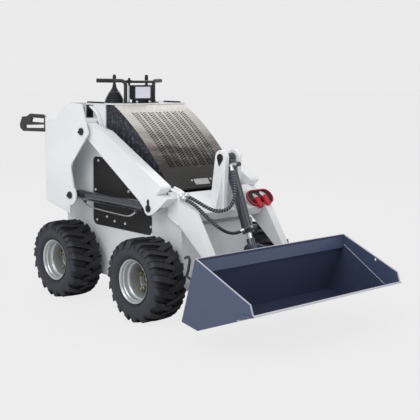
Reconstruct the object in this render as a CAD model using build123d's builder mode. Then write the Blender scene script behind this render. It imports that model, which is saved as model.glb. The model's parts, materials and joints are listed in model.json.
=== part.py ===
from build123d import *
from math import cos, hypot, pi, radians, sin, sqrt, tan
import os

# Mini loader on four wheels, in millimetres. +X is forward, +Y is the machine's left, +Z is up.
# The ground is at Z = 0. Side profiles are drawn from the point midway between the axles.

# Wheels and axles
wheelbase = 766.0
wheel_radius = 228.5
tyre_width = 216.0
lug_height = 17.0
lug_width = 30.0
lugs_per_side = 18
track_half = 420.0
rim_well_radius = 104.0
rim_flange_radius = 121.0
rim_width = 190.0
rim_wall = 5.0
disc_offset = 26.0
disc_wall = 8.0
spindle_radius = 32.0
motor_radius = 64.0
running_clearance = 0.05

# Body
body_half_width = 270.0
wall = 8.0
belly_height = 135.0
body_front = 500.0
body_rear = -600.0
deck_height = 1158.0
deck_wall = 6.0
deck_rear = -385.0
deck_front = -109.0
rear_drop = 100.0
seat = 0.3

# Engine block
engine_length = 460.0
engine_width = 380.0
engine_height = 560.0

# Towers that carry the boom
tower_outer = 400.0
tower_wall = 10.0
tower_boss_radius = 60.0

# Boom, drawn in the side view
boom_pivot = (-250.0, 996.0)
lift_base = (-376.0, 610.0)
lift_eye = (339.0, 606.0)
bucket_pivot = (812.0, 235.0)
mast_pin = (575.0, 884.0)
bucket_eye = (775.0, 405.0)
arm_inner = 300.0
arm_width = 72.0
arm_plate = 11.0
leg_inner = 252.0
pivot_lobe_radius = 50.0
eye_lobe_radius = 38.0
leg_lobe_radius = 38.0
pin_radius = 15.0
side_gap = 4.0

# Lift cylinders
lift_barrel_radius = 29.0
lift_bore_radius = 24.0
lift_rod_radius = 15.0
lift_eye_radius = 28.0
lift_eye_width = 40.0
lift_free_rod = 64.0
lift_plane = arm_inner + arm_width / 2

# Bucket cylinder
tilt_barrel_radius = 30.0
tilt_bore_radius = 25.0
tilt_rod_radius = 14.0
tilt_eye_radius = 24.0
tilt_eye_width = 44.0
tilt_free_rod = 86.0
tilt_sleeve_length = 50.0
tilt_sleeve_radius = 21.0

# Mast on the boom's cross-member
ear_inner = 34.0
ear_width = 26.0
ear_radius = 42.0
gusset_x = 584.0
gusset_height = 190.0
gusset_reach = 46.0

# Bucket, drawn with its floor level and turned back by the roll about its pivot
bucket_roll = 20.6
bucket_half_width = 561.0
bucket_side_wall = 9.0
bucket_shell = 7.0
edge_reach = 12.0

# Hood
hood_half_width = 267.0
hood_wall = 4.0
hood_top = (-110.0, deck_height - deck_wall)
hood_middle = (137.0, deck_height - 173.0)
hood_foot = (400.0, 704.0)

sides = {"left": 1, "right": -1}


def turned(point, pivot, angle):
    """Return a side-view point after a turn about a pivot, counter-clockwise seen from the right."""
    dx = point[0] - pivot[0]
    dz = point[1] - pivot[1]
    c = cos(radians(angle))
    s = sin(radians(angle))
    return (pivot[0] + dx * c - dz * s, pivot[1] + dx * s + dz * c)


def from_pivot(along, up):
    """Return the side-view place of a point given along and above the level bucket floor."""
    level = (bucket_pivot[0] + along, bucket_pivot[1] + up)
    return turned(level, bucket_pivot, bucket_roll)


# Bucket profile from its pivot: along the floor, above the pivot
bucket_back_top = (193.6, 151.5)
bucket_back_low = (-16.5, -126.3)
bucket_heel = (89.0, -188.5)
bucket_floor_front = (493.0, -188.5)
bucket_side_front = (494.0, -128.0)

bucket_side_hole = (372.0, -33.0)
side_hole_radius = 8.0

handle_reach = 945.0
tip = from_pivot(bucket_floor_front[0] + edge_reach, bucket_floor_front[1])
axle_mid_x = -(tip[0] - handle_reach) / 2


def side_plane(y):
    """Side view seen from the right, at distance y to the left: x is forward and y is up."""
    return Plane(origin=(axle_mid_x, y, 0), x_dir=(1, 0, 0), z_dir=(0, -1, 0))


def level_plane(z):
    return Plane(origin=(axle_mid_x, 0, z), x_dir=(1, 0, 0), z_dir=(0, 0, 1))


def cross_plane(x):
    """Front view at a forward station: x is to the left and y is up."""
    return Plane(origin=(axle_mid_x + x, 0, 0), x_dir=(0, 1, 0), z_dir=(1, 0, 0))


def left_face(side, inner, outer):
    """Return the plane that bounds a slab of one side on its left."""
    return side_plane(max(side * inner, side * outer))


def axis_plane(start, end, y):
    """Plane at a side-view point with its normal towards a second one."""
    dx = end[0] - start[0]
    dz = end[1] - start[1]
    return Plane(origin=(axle_mid_x + start[0], y, start[1]), x_dir=(0, 1, 0), z_dir=(dx, 0, dz))


def distance(start, end):
    return hypot(end[0] - start[0], end[1] - start[1])


def save(piece, label):
    piece.label = label
    export_step(piece, f"parts/{label}.step")


os.makedirs("parts", exist_ok=True)

# Wheels, drawn about their own axis: a tyre with two rows of staggered lugs on a deep rim.
# The wheel's section has its x outwards along the axle and its y along the radius.
wheel_section = Plane(origin=(0, 0, 0), x_dir=(0, 1, 0), z_dir=(1, 0, 0))
bead_width = rim_width - 2 * rim_wall
bead_top = rim_flange_radius + 8
lug_pitch = 360 / lugs_per_side
carcass_radius = wheel_radius - lug_height
# Half widths and radii of the carcass from its bead to its crown
carcass_bands = [(bead_width / 2, bead_top), (tyre_width / 2 - 3, 178), (70, carcass_radius)]
carcass_bands += [(-half_width, radius) for half_width, radius in reversed(carcass_bands)]
with BuildPart() as carcass:
    for station, radius in carcass_bands:
        with BuildSketch(Plane(origin=(0, station, 0), x_dir=(1, 0, 0), z_dir=(0, 1, 0))):
            RegularPolygon(radius, lugs_per_side, rotation=90 + lug_pitch / 2)
    loft(ruled=True)
    with BuildSketch(Plane(origin=(0, -bead_width / 2, 0), x_dir=(1, 0, 0), z_dir=(0, 1, 0))):
        RegularPolygon(rim_well_radius, lugs_per_side, major_radius=False, rotation=90 + lug_pitch / 2)
    extrude(amount=bead_width, mode=Mode.SUBTRACT)

# One lug: a slanting bar from past the tread's middle down over the tyre's side
lug_line = [(24, -20), (-24, tyre_width / 2)]
lug_depth = 46.0
lug_top = sqrt(wheel_radius**2 - (lug_line[0][0] + lug_width / 2) ** 2)
with BuildPart() as lug:
    with BuildSketch(Plane(origin=(0, 0, wheel_radius), x_dir=(1, 0, 0), z_dir=(0, 0, 1))):
        Polygon(
            *[(around - lug_width / 2, outwards) for around, outwards in lug_line],
            *[(around + lug_width / 2, outwards) for around, outwards in reversed(lug_line)],
            align=None,
        )
    extrude(amount=-lug_depth)
    with BuildSketch(Plane(origin=(-100, 0, 0), x_dir=(0, 1, 0), z_dir=(1, 0, 0))):
        Polygon(
            (-30, carcass_radius - 12),
            (-30, lug_top),
            (84, lug_top),
            (tyre_width / 2, lug_top - 34),
            (64, carcass_radius - 12),
            align=None,
        )
    extrude(amount=200, mode=Mode.INTERSECT)

with BuildPart() as tyre:
    add(carcass.part)
    for first_turn, row in ((0, lug.part), (lug_pitch / 2, lug.part.mirror(Plane.XZ))):
        add([row.rotate(Axis.Y, first_turn + count * lug_pitch) for count in range(lugs_per_side)])

disc_face = -disc_offset
with BuildPart() as rim:
    with BuildSketch(wheel_section):
        Polygon(
            (rim_width / 2 - rim_wall, rim_well_radius),
            (rim_width / 2 - rim_wall, rim_flange_radius),
            (rim_width / 2, rim_flange_radius),
            (rim_width / 2, rim_well_radius - rim_wall),
            (52, rim_well_radius - rim_wall),
            (46, 88),
            (disc_face, 86),
            (disc_face, spindle_radius + running_clearance),
            (disc_face - disc_wall, spindle_radius + running_clearance),
            (disc_face - disc_wall, rim_well_radius - rim_wall),
            (-rim_width / 2, rim_well_radius - rim_wall),
            (-rim_width / 2, rim_flange_radius),
            (-rim_width / 2 + rim_wall, rim_flange_radius),
            (-rim_width / 2 + rim_wall, rim_well_radius),
            align=None,
        )
    revolve(axis=Axis.Y)

axle_x = {"front": wheelbase / 2, "rear": -wheelbase / 2}
for end_name, x in axle_x.items():
    for side_name, side in sides.items():
        hub = Location((axle_mid_x + x, side * track_half, wheel_radius))
        for piece, wheel_part in (("tyre", tyre.part), ("rim", rim.part)):
            outwards = wheel_part if side > 0 else wheel_part.mirror(Plane.XZ)
            save(outwards.moved(hub), f"{piece}_{end_name}_{side_name}")

# Axles: one motor housing and spindle at each wheel, bolted to the body's wall
spindle_end = track_half - disc_offset + 10
housing_end = track_half - disc_offset - disc_wall - 2
with BuildPart() as axles:
    for x in axle_x.values():
        for side in sides.values():
            with BuildSketch(Plane(origin=(axle_mid_x + x, side * body_half_width, wheel_radius), z_dir=(0, side, 0))):
                Circle(motor_radius)
            extrude(amount=housing_end - body_half_width)
            with BuildSketch(Plane(origin=(axle_mid_x + x, side * housing_end, wheel_radius), z_dir=(0, side, 0))):
                Circle(spindle_radius)
            extrude(amount=spindle_end - housing_end)
save(axles.part, "axles")

# Chassis: a welded tub with high side walls that carry the deck
tub_profile = [
    (body_rear, 230),
    (body_rear + 90, belly_height),
    (body_front - 60, belly_height),
    (body_front, 200),
    (body_front, 512),
    (408, 553),
    (408, 655),
    (-190, deck_height - 173),
    (-190, deck_height - deck_wall),
    (deck_rear, deck_height - deck_wall),
    (body_rear, deck_height - rear_drop),
]
cavity_profile = [
    (body_rear - wall, 230 + wall),
    (body_rear + 90 + wall, belly_height + wall),
    (body_front - 60 - wall, belly_height + wall),
    (body_front - wall, 200 + wall),
    (body_front - wall, 512 - wall),
    (408 - wall, 553 - wall),
    (408 - wall, deck_height + wall),
    (body_rear - wall, deck_height + wall),
]
accessory_hole_radius = 4.5
accessory_holes = [(252, 452), (288, 452)]
window_top = deck_height - 316
window_profile = [(-327, 430), (-327, window_top), (-228, window_top), (245, 545), (245, 430)]
window_radius = 36.0
window_lap = 12.0
with BuildPart() as chassis:
    with BuildSketch(side_plane(body_half_width)):
        Polygon(*tub_profile, align=None)
    extrude(amount=2 * body_half_width)
    with BuildSketch(side_plane(body_half_width - wall)):
        Polygon(*cavity_profile, align=None)
    extrude(amount=2 * (body_half_width - wall), mode=Mode.SUBTRACT)
    with BuildSketch(side_plane(body_half_width)) as window:
        Polygon(*window_profile, align=None)
        fillet(window.vertices(), window_radius)
        with Locations(boom_pivot, lift_base):
            Circle(pin_radius)
        with Locations(*accessory_holes):
            Circle(accessory_hole_radius)
    extrude(amount=2 * body_half_width, mode=Mode.SUBTRACT)
save(chassis.part, "chassis")

# Side grilles: black sheets behind the windows, on the walls' inner faces
with BuildPart() as side_grilles:
    for side in sides.values():
        with BuildSketch(left_face(side, body_half_width - wall - 3, body_half_width - wall)):
            Polygon(*window_profile, align=None)
            offset(amount=window_lap, kind=Kind.INTERSECTION)
        extrude(amount=3)
save(side_grilles.part, "side_grilles")

# Engine: one plain block on the tub's floor
with BuildPart() as engine:
    with BuildSketch(level_plane(belly_height + wall)):
        with Locations((30, 0)):
            Rectangle(engine_length, engine_width)
    extrude(amount=engine_height)
save(engine.part, "engine")

# Towers: an outer plate with a closing web along its rear edge
tower_rear = -638.0
tower_waist = (-372, 784)
tower_nose = (-184, 984)
tower_profile = [
    (tower_rear, 553),
    (-379, 500),
    (-379, 560),
    (-334, 640),
    tower_waist,
    tower_nose,
    (-251, 1155),
    (-387, 1160),
    (-518, 1066),
    (tower_rear, 1066),
]
web_profile = [
    (tower_rear, 553),
    (tower_rear + 20, 549),
    (tower_rear + 20, 1050),
    (-513, 1050),
    (-392, 1132),
    (-387, 1160),
    (-518, 1066),
    (tower_rear, 1066),
]
waist_radius = 60.0
nose_radius = 24.0
for side_name, side in sides.items():
    with BuildPart() as tower:
        with BuildSketch(left_face(side, tower_outer - tower_wall, tower_outer)) as plate:
            Polygon(*tower_profile, align=None)
            fillet(plate.vertices().sort_by_distance(tower_waist)[0], waist_radius)
            fillet(plate.vertices().sort_by_distance(tower_nose)[0], nose_radius)
            with Locations(lift_base):
                Circle(tower_boss_radius)
        extrude(amount=tower_wall)
        with BuildSketch(left_face(side, body_half_width, tower_outer - tower_wall)):
            Polygon(*web_profile, align=None)
        extrude(amount=tower_outer - tower_wall - body_half_width)
        with BuildSketch(left_face(side, body_half_width, tower_outer)):
            with Locations(boom_pivot, lift_base):
                Circle(pin_radius)
        extrude(amount=tower_outer - body_half_width, mode=Mode.SUBTRACT)
    save(tower.part, f"tower_{side_name}")

# Pins fixed in the towers: the boom's pivots and the lift cylinders' bases
with BuildPart() as tower_pins:
    for side in sides.values():
        with BuildSketch(left_face(side, body_half_width - wall - 6, tower_outer + 8)):
            with Locations(boom_pivot, lift_base):
                Circle(pin_radius)
        extrude(amount=tower_outer + 8 - (body_half_width - wall - 6))
        with BuildSketch(left_face(side, tower_outer, tower_outer + 8)):
            with Locations(boom_pivot, lift_base):
                Circle(pin_radius + 6)
        extrude(amount=8)
save(tower_pins.part, "tower_pins")

# Rear panel between the walls, the deck and the hood
with BuildPart() as rear_panel:
    with BuildSketch(side_plane(body_half_width - wall)):
        Polygon(
            (body_rear, 230 + wall),
            (body_rear + wall, 230 + wall),
            (body_rear + wall, deck_height - rear_drop - wall),
            (deck_rear, deck_height - deck_wall - wall),
            (deck_rear, deck_height - deck_wall),
            (body_rear, deck_height - rear_drop),
            align=None,
        )
    extrude(amount=2 * (body_half_width - wall))
save(rear_panel.part, "rear_panel")

with BuildPart() as deck:
    with BuildSketch(level_plane(deck_height - deck_wall)):
        with Locations(((deck_rear + deck_front) / 2, 0)):
            Rectangle(deck_front - deck_rear, 2 * body_half_width)
    extrude(amount=deck_wall)
save(deck.part, "deck")

with BuildPart() as hood:
    with BuildSketch(side_plane(hood_half_width)):
        with BuildLine():
            ThreePointArc(hood_top, hood_middle, hood_foot)
            offset(amount=hood_wall, side=Side.RIGHT)
        make_face()
    extrude(amount=2 * hood_half_width)
save(hood.part, "hood")

# Hood sides: black sheets between the hood's edges and the walls, lapped behind the walls
sheet_wall = 3.0
sheet_top = (-115.0, deck_height - deck_wall - 6)
sheet_middle = (129.0, deck_height - 177.0)
sheet_outer = body_half_width - wall - seat
with BuildPart() as hood_sides:
    for side in sides.values():
        with BuildSketch(left_face(side, sheet_outer - sheet_wall, sheet_outer)):
            with BuildLine():
                ThreePointArc(sheet_top, sheet_middle, (390, 704))
                Polyline((390, 704), (390, 636), (-186, deck_height - 201), (-186, sheet_top[1]), sheet_top)
            make_face()
        extrude(amount=sheet_wall)
save(hood_sides.part, "hood_sides")

# Rear handles: plates with two windows at the towers' rear edges
with BuildPart() as rear_handles:
    for side in sides.values():
        with BuildSketch(left_face(side, tower_outer - 16, tower_outer - 4)):
            Polygon(
                (-638, 975),
                (-905, 967),
                (-940, 985),
                (-945, 1010),
                (-915, 1058),
                (-860, 1062),
                (-820, 1080),
                (-670, 1080),
                (-638, 1060),
                align=None,
            )
            Polygon((-660, 1018), (-660, 998), (-880, 988), (-880, 1006), align=None, mode=Mode.SUBTRACT)
            Polygon((-660, 1056), (-660, 1030), (-810, 1030), (-800, 1056), align=None, mode=Mode.SUBTRACT)
        extrude(amount=12)
save(rear_handles.part, "rear_handles")

# Controls on the deck: two boots, two levers, the grab bar and the lamp
lever_x = -300.0
lever_half_spacing = 123.0
boot_height = 112.0
post_x = -210.0
post_half_spacing = 107.0
bar_radius = 11.0
grip_rise = 133.0
grip_height = deck_height + grip_rise
# Radius and height of a boot's bellows, from its foot to its top
boot_profile = [(0, 0), (59, 0), (58, 8), (46, 14), (49, 24), (36, 32), (38, 44), (26, 54), (27, 66), (18, 78)]
boot_profile += [(16, boot_height), (0, boot_height)]
with BuildPart() as lever_boots:
    for side in sides.values():
        with BuildSketch(
            Plane(
                origin=(axle_mid_x + lever_x, side * lever_half_spacing, deck_height),
                x_dir=(1, 0, 0),
                z_dir=(0, -1, 0),
            )
        ):
            Polygon(*boot_profile, align=None)
        revolve(axis=Axis((axle_mid_x + lever_x, side * lever_half_spacing, 0), (0, 0, 1)))
save(lever_boots.part, "lever_boots")

with BuildPart() as levers:
    for side in sides.values():
        with BuildSketch(
            Plane(
                origin=(axle_mid_x + lever_x, side * lever_half_spacing, deck_height + boot_height),
                x_dir=(1, 0, 0),
                z_dir=(0, -1, 0),
            )
        ):
            Polygon((0, 0), (9, 0), (9, 10), (17, 16), (19, 44), (14, 56), (0, 58), align=None)
        revolve(axis=Axis((axle_mid_x + lever_x, side * lever_half_spacing, 0), (0, 0, 1)))
save(levers.part, "levers")

with BuildPart() as grab_bar:
    for side in sides.values():
        with BuildLine() as grip_path:
            FilletPolyline(
                (axle_mid_x + post_x, side * post_half_spacing, deck_height),
                (axle_mid_x + post_x, side * post_half_spacing, grip_height),
                (axle_mid_x + post_x - 101, side * (post_half_spacing + 137), grip_height),
                radius=28,
            )
        with BuildSketch(Plane(origin=grip_path.line @ 0, z_dir=(0, 0, 1))):
            Circle(bar_radius)
        sweep()
    with BuildSketch(Plane(origin=(axle_mid_x + post_x, -post_half_spacing, grip_height - 6), z_dir=(0, 1, 0))):
        Circle(bar_radius - 3)
    extrude(amount=2 * post_half_spacing)
save(grab_bar.part, "grab_bar")

lamp_x = -165.0
lamp_y = -14.0
lamp_width = 134.0
lamp_height = 88.0
lamp_rim = 9.0
with BuildPart() as lamp:
    with BuildSketch(cross_plane(lamp_x - 38)):
        with Locations((lamp_y, deck_height + 20 + lamp_height / 2)):
            RectangleRounded(lamp_width, lamp_height, 10)
    extrude(amount=38)
    with BuildSketch(cross_plane(lamp_x - 30)):
        with Locations((lamp_y, deck_height + 12)):
            Rectangle(60, 24)
    extrude(amount=22)
save(lamp.part, "lamp")
with BuildPart() as lamp_lens:
    with BuildSketch(cross_plane(lamp_x)):
        with Locations((lamp_y, deck_height + 20 + lamp_height / 2)):
            RectangleRounded(lamp_width - 2 * lamp_rim, lamp_height - 2 * lamp_rim, 6)
    extrude(amount=4)
save(lamp_lens.part, "lamp_lens")

# Boom arms: a box section beside the tower and a narrower leg ahead of it, joined side by side
arm_profile = [
    (-262, 1044),
    (-80, 1006),
    (441, 736),
    (446, 724),
    (408, 686),
    (502, 674),
    (443, 627),
    (372, 576),
    (300, 600),
    (263, 637),
    (-225, 948),
]
leg_profile = [
    (420, 700),
    (615, 608),
    (757, 396),
    (850, 245),
    (774, 215),
    (704, 376),
    (513, 526),
    (420, 568),
]
leg_slope = (leg_profile[0][1] - leg_profile[1][1]) / (leg_profile[1][0] - leg_profile[0][0])


def leg_top(x):
    """Height of the legs' sloped top at a side-view station."""
    return leg_profile[0][1] - (x - leg_profile[0][0]) * leg_slope


clevis_profile = [(40, 700), (330, 500), (440, 500), (430, 640), (330, 668), (60, 840)]
for side_name, side in sides.items():
    with BuildPart() as arm:
        with BuildSketch(left_face(side, arm_inner, arm_inner + arm_width)):
            Polygon(*arm_profile, align=None)
            with Locations(boom_pivot):
                Circle(pivot_lobe_radius)
            with Locations(lift_eye):
                Circle(eye_lobe_radius)
        extrude(amount=arm_width)
        with BuildSketch(left_face(side, arm_inner + arm_plate, arm_inner + arm_width - arm_plate)):
            Polygon(*clevis_profile, align=None)
            with Locations(lift_eye):
                Circle(eye_lobe_radius + 20)
        extrude(amount=arm_width - 2 * arm_plate, mode=Mode.SUBTRACT)
        with BuildSketch(left_face(side, leg_inner, arm_inner)):
            Polygon(*leg_profile, align=None)
            with Locations(bucket_pivot):
                Circle(leg_lobe_radius)
        extrude(amount=arm_inner - leg_inner)
        with BuildSketch(left_face(side, leg_inner, arm_inner + arm_width)):
            with Locations(boom_pivot, bucket_pivot):
                Circle(pin_radius + running_clearance)
            with Locations(lift_eye):
                Circle(pin_radius)
        extrude(amount=arm_width + arm_inner - leg_inner, mode=Mode.SUBTRACT)
    save(arm.part, f"arm_{side_name}")

# Cross-member between the arms: a folded plate that follows the slope of their tops
member_rear = 425.0
member_front = 609.0
member_rear_height = 688.0
member_slope = 0.5
member_wall = 12.0


def member_top(x):
    """Height of the cross-member's top at a side-view station."""
    return member_rear_height - (x - member_rear) * member_slope


with BuildPart() as cross_member:
    with BuildSketch(side_plane(leg_inner)):
        Polygon(
            (member_rear, member_top(member_rear)),
            (member_front, member_top(member_front)),
            (member_front - 30, member_top(member_front) - 46),
            (member_front - 30 - member_wall, member_top(member_front) - 46),
            (member_front - 16, member_top(member_front) - 6),
            (member_rear, member_top(member_rear) - member_wall),
            align=None,
        )
    extrude(amount=2 * leg_inner)
save(cross_member.part, "cross_member")

mast_foot_rear = 500.0
mast_foot_front = 606.0
with BuildPart() as mast:
    for side in sides.values():
        with BuildSketch(left_face(side, ear_inner, ear_inner + ear_width)):
            Polygon(
                (mast_foot_rear, member_top(mast_foot_rear)),
                (mast_pin[0] - ear_radius, mast_pin[1]),
                (mast_pin[0] + ear_radius, mast_pin[1]),
                (mast_foot_front, member_top(mast_foot_front)),
                align=None,
            )
            with Locations(mast_pin):
                Circle(ear_radius)
                Circle(pin_radius, mode=Mode.SUBTRACT)
        extrude(amount=ear_width)
        ear_outer = side * (ear_inner + ear_width)
        with BuildSketch(cross_plane(gusset_x)):
            Polygon(
                (ear_outer, member_top(gusset_x)),
                (ear_outer + side * gusset_reach, member_top(gusset_x)),
                (ear_outer, member_top(gusset_x) + gusset_height),
                align=None,
            )
        extrude(amount=8)
save(mast.part, "mast")

# Pins held by the boom: the lift eyes' pin ends and the mast's pin
with BuildPart() as boom_pins:
    for side in sides.values():
        for inner in (arm_inner, arm_inner + arm_width - arm_plate):
            with BuildSketch(left_face(side, inner, inner + arm_plate)):
                with Locations(lift_eye):
                    Circle(pin_radius)
            extrude(amount=arm_plate)
    with BuildSketch(side_plane(ear_inner + ear_width + 6)):
        with Locations(mast_pin):
            Circle(pin_radius)
    extrude(amount=2 * (ear_inner + ear_width + 6))
save(boom_pins.part, "boom_pins")

# Lift cylinders
for side_name, side in sides.items():
    y = side * lift_plane
    axis_start = axis_plane(lift_base, lift_eye, y)
    pin_to_pin = distance(lift_base, lift_eye)
    barrel_end = pin_to_pin - lift_free_rod
    with BuildPart() as lift_barrel:
        with BuildSketch(axis_start.offset(lift_eye_radius - 8)):
            Circle(lift_barrel_radius)
        extrude(amount=barrel_end - lift_eye_radius + 8)
        with BuildSketch(axis_start.offset(lift_eye_radius + 20)):
            Circle(lift_bore_radius)
        extrude(amount=barrel_end - 24 - lift_eye_radius - 20, mode=Mode.SUBTRACT)
        with BuildSketch(axis_start.offset(barrel_end - 24)):
            Circle(lift_rod_radius + running_clearance)
        extrude(amount=24, mode=Mode.SUBTRACT)
        with BuildSketch(side_plane(y + lift_eye_width / 2)):
            with Locations(lift_base):
                Circle(lift_eye_radius)
        extrude(amount=lift_eye_width)
        with BuildSketch(side_plane(y + lift_barrel_radius)):
            with Locations(lift_base):
                Circle(pin_radius + running_clearance)
        extrude(amount=2 * lift_barrel_radius, mode=Mode.SUBTRACT)
    save(lift_barrel.part, f"lift_barrel_{side_name}")
    with BuildPart() as lift_rod:
        with BuildSketch(axis_start.offset(100)):
            Circle(lift_bore_radius - running_clearance)
        extrude(amount=40)
        with BuildSketch(axis_start.offset(140)):
            Circle(lift_rod_radius)
        extrude(amount=pin_to_pin - 140)
        with BuildSketch(side_plane(y + lift_eye_width / 2)):
            with Locations(lift_eye):
                Circle(lift_eye_radius)
        extrude(amount=lift_eye_width)
    save(lift_rod.part, f"lift_rod_{side_name}")

# Bucket cylinder, with a port block at each end of the barrel's front
axis_start = axis_plane(mast_pin, bucket_eye, 0)
pin_to_pin = distance(mast_pin, bucket_eye)
barrel_end = pin_to_pin - tilt_free_rod
axis_run = ((bucket_eye[0] - mast_pin[0]) / pin_to_pin, (bucket_eye[1] - mast_pin[1]) / pin_to_pin)
port_half_width = 14.0
port_radius = 13.0


def off_barrel(along, ahead):
    """Side-view point along the bucket cylinder from its upper pin, and ahead of its axis."""
    x = mast_pin[0] + along * axis_run[0] - ahead * axis_run[1]
    z = mast_pin[1] + along * axis_run[1] + ahead * axis_run[0]
    return (x, z)


upper_port = off_barrel(58, 56)
lower_port = off_barrel(barrel_end - 22, 50)
with BuildPart() as bucket_barrel:
    with BuildSketch(axis_start.offset(tilt_eye_radius - 4)):
        Circle(tilt_barrel_radius)
    extrude(amount=barrel_end - tilt_eye_radius + 4)
    with BuildSketch(side_plane(port_half_width)):
        for along, port in ((58, upper_port), (barrel_end - 22, lower_port)):
            Polygon(off_barrel(along - 13, 20), off_barrel(along + 13, 20), port, align=None)
            with Locations(port):
                Circle(port_radius)
    extrude(amount=2 * port_half_width)
    with BuildSketch(axis_start.offset(tilt_eye_radius + 20)):
        Circle(tilt_bore_radius)
    extrude(amount=barrel_end - 24 - tilt_eye_radius - 20, mode=Mode.SUBTRACT)
    with BuildSketch(axis_start.offset(barrel_end - 24)):
        Circle(tilt_rod_radius + running_clearance)
    extrude(amount=24, mode=Mode.SUBTRACT)
    with BuildSketch(side_plane(tilt_barrel_radius)):
        with Locations(mast_pin):
            Circle(tilt_eye_radius + 2)
    extrude(amount=2 * tilt_barrel_radius)
    with BuildSketch(side_plane(tilt_barrel_radius)):
        with Locations(mast_pin):
            Circle(pin_radius + running_clearance)
    extrude(amount=2 * tilt_barrel_radius, mode=Mode.SUBTRACT)
save(bucket_barrel.part, "bucket_barrel")
with BuildPart() as bucket_rod:
    with BuildSketch(axis_start.offset(90)):
        Circle(tilt_bore_radius - running_clearance)
    extrude(amount=36)
    with BuildSketch(axis_start.offset(126)):
        Circle(tilt_rod_radius)
    extrude(amount=pin_to_pin - 126)
    with BuildSketch(axis_start.offset(pin_to_pin - tilt_sleeve_length)):
        Circle(tilt_sleeve_radius)
    extrude(amount=tilt_sleeve_length)
    with BuildSketch(side_plane(tilt_eye_width / 2)):
        with Locations(bucket_eye):
            Circle(tilt_eye_radius)
    extrude(amount=tilt_eye_width)
save(bucket_rod.part, "bucket_rod")

# Bucket, its cutting edge and the plate that carries it
back_top = from_pivot(*bucket_back_top)
back_low = from_pivot(*bucket_back_low)
heel = from_pivot(*bucket_heel)
floor_front = from_pivot(*bucket_floor_front)
side_front = from_pivot(*bucket_side_front)
edge_length = 110.0
floor_inside = bucket_heel[1] + bucket_shell
edge_rear = bucket_floor_front[0] - edge_length
bucket_outline = [back_top, back_low, heel, from_pivot(edge_rear, bucket_heel[1])]
bucket_outline += [from_pivot(edge_rear, floor_inside), from_pivot(bucket_floor_front[0], floor_inside), side_front]
with BuildPart() as bucket:
    with BuildSketch(side_plane(bucket_half_width)):
        Polygon(*bucket_outline, align=None)
    extrude(amount=2 * bucket_half_width)
    with BuildSketch(side_plane(bucket_half_width - bucket_side_wall)):
        Polygon(
            from_pivot(bucket_back_top[0] + bucket_shell * 1.3, bucket_back_top[1] + 2),
            from_pivot(bucket_back_low[0] + bucket_shell * 1.3, bucket_back_low[1] + 3),
            from_pivot(bucket_heel[0] + 2, floor_inside),
            from_pivot(bucket_floor_front[0] + 60, floor_inside),
            from_pivot(bucket_floor_front[0] + 60, bucket_back_top[1] + 90),
            from_pivot(bucket_back_top[0] + bucket_shell * 1.3, bucket_back_top[1] + 90),
            align=None,
        )
    extrude(amount=2 * (bucket_half_width - bucket_side_wall), mode=Mode.SUBTRACT)
    with BuildSketch(side_plane(bucket_half_width)):
        with Locations(from_pivot(*bucket_side_hole)):
            Circle(side_hole_radius)
    extrude(amount=bucket_side_wall, mode=Mode.SUBTRACT)
save(bucket.part, "bucket")

with BuildPart() as cutting_edge:
    with BuildSketch(side_plane(bucket_half_width)):
        Polygon(
            from_pivot(edge_rear, floor_inside),
            from_pivot(edge_rear, bucket_heel[1]),
            from_pivot(bucket_floor_front[0] + edge_reach, bucket_heel[1]),
            from_pivot(bucket_floor_front[0], floor_inside),
            align=None,
        )
    extrude(amount=2 * bucket_half_width)
save(cutting_edge.part, "cutting_edge")

# Attach plate on the bucket's back, with lugs at the legs and ears at the cylinder
back_length = distance(back_top, back_low)
back_rise = ((back_top[0] - back_low[0]) / back_length, (back_top[1] - back_low[1]) / back_length)
plate_wall = 12.0
plate_half_width = 345.0
lug_wall = 12.0
lug_radius = 32.0


def on_back(up, behind):
    """Side-view point up along the bucket's back from its lower edge, and behind it."""
    x = back_low[0] + up * back_rise[0] - behind * back_rise[1]
    z = back_low[1] + up * back_rise[1] + behind * back_rise[0]
    return (x, z)


with BuildPart() as attach_plate:
    with BuildSketch(side_plane(plate_half_width)):
        Polygon(
            on_back(30, 0), on_back(back_length - 12, 0), on_back(back_length - 12, plate_wall), on_back(30, plate_wall),
            align=None,
        )
    extrude(amount=2 * plate_half_width)
    lug_faces = [leg_inner - side_gap - lug_wall, arm_inner + side_gap]
    for side in sides.values():
        for inner in lug_faces:
            with BuildSketch(left_face(side, inner, inner + lug_wall)):
                Polygon(on_back(50, 8), on_back(170, 8), on_back(140, 63), on_back(80, 63), align=None)
                with Locations(bucket_pivot):
                    Circle(lug_radius)
                    Circle(pin_radius, mode=Mode.SUBTRACT)
            extrude(amount=lug_wall)
        with BuildSketch(left_face(side, tilt_eye_width / 2 + side_gap, tilt_eye_width / 2 + side_gap + lug_wall)):
            Polygon(on_back(150, 8), on_back(315, 8), on_back(286, 147), on_back(240, 147), align=None)
            with Locations(bucket_eye):
                Circle(tilt_eye_radius + 2)
                Circle(pin_radius, mode=Mode.SUBTRACT)
        extrude(amount=lug_wall)
save(attach_plate.part, "attach_plate")

with BuildPart() as bucket_pins:
    pivot_pin_inner = leg_inner - side_gap - lug_wall - 5
    pivot_pin_outer = arm_inner + side_gap + lug_wall + 5
    for side in sides.values():
        with BuildSketch(left_face(side, pivot_pin_inner, pivot_pin_outer)):
            with Locations(bucket_pivot):
                Circle(pin_radius)
        extrude(amount=pivot_pin_outer - pivot_pin_inner)
        with BuildSketch(left_face(side, tilt_eye_width / 2 + side_gap, tilt_eye_width / 2 + side_gap + lug_wall + 5)):
            with Locations(bucket_eye):
                Circle(pin_radius)
        extrude(amount=lug_wall + 5)
save(bucket_pins.part, "bucket_pins")

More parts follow.
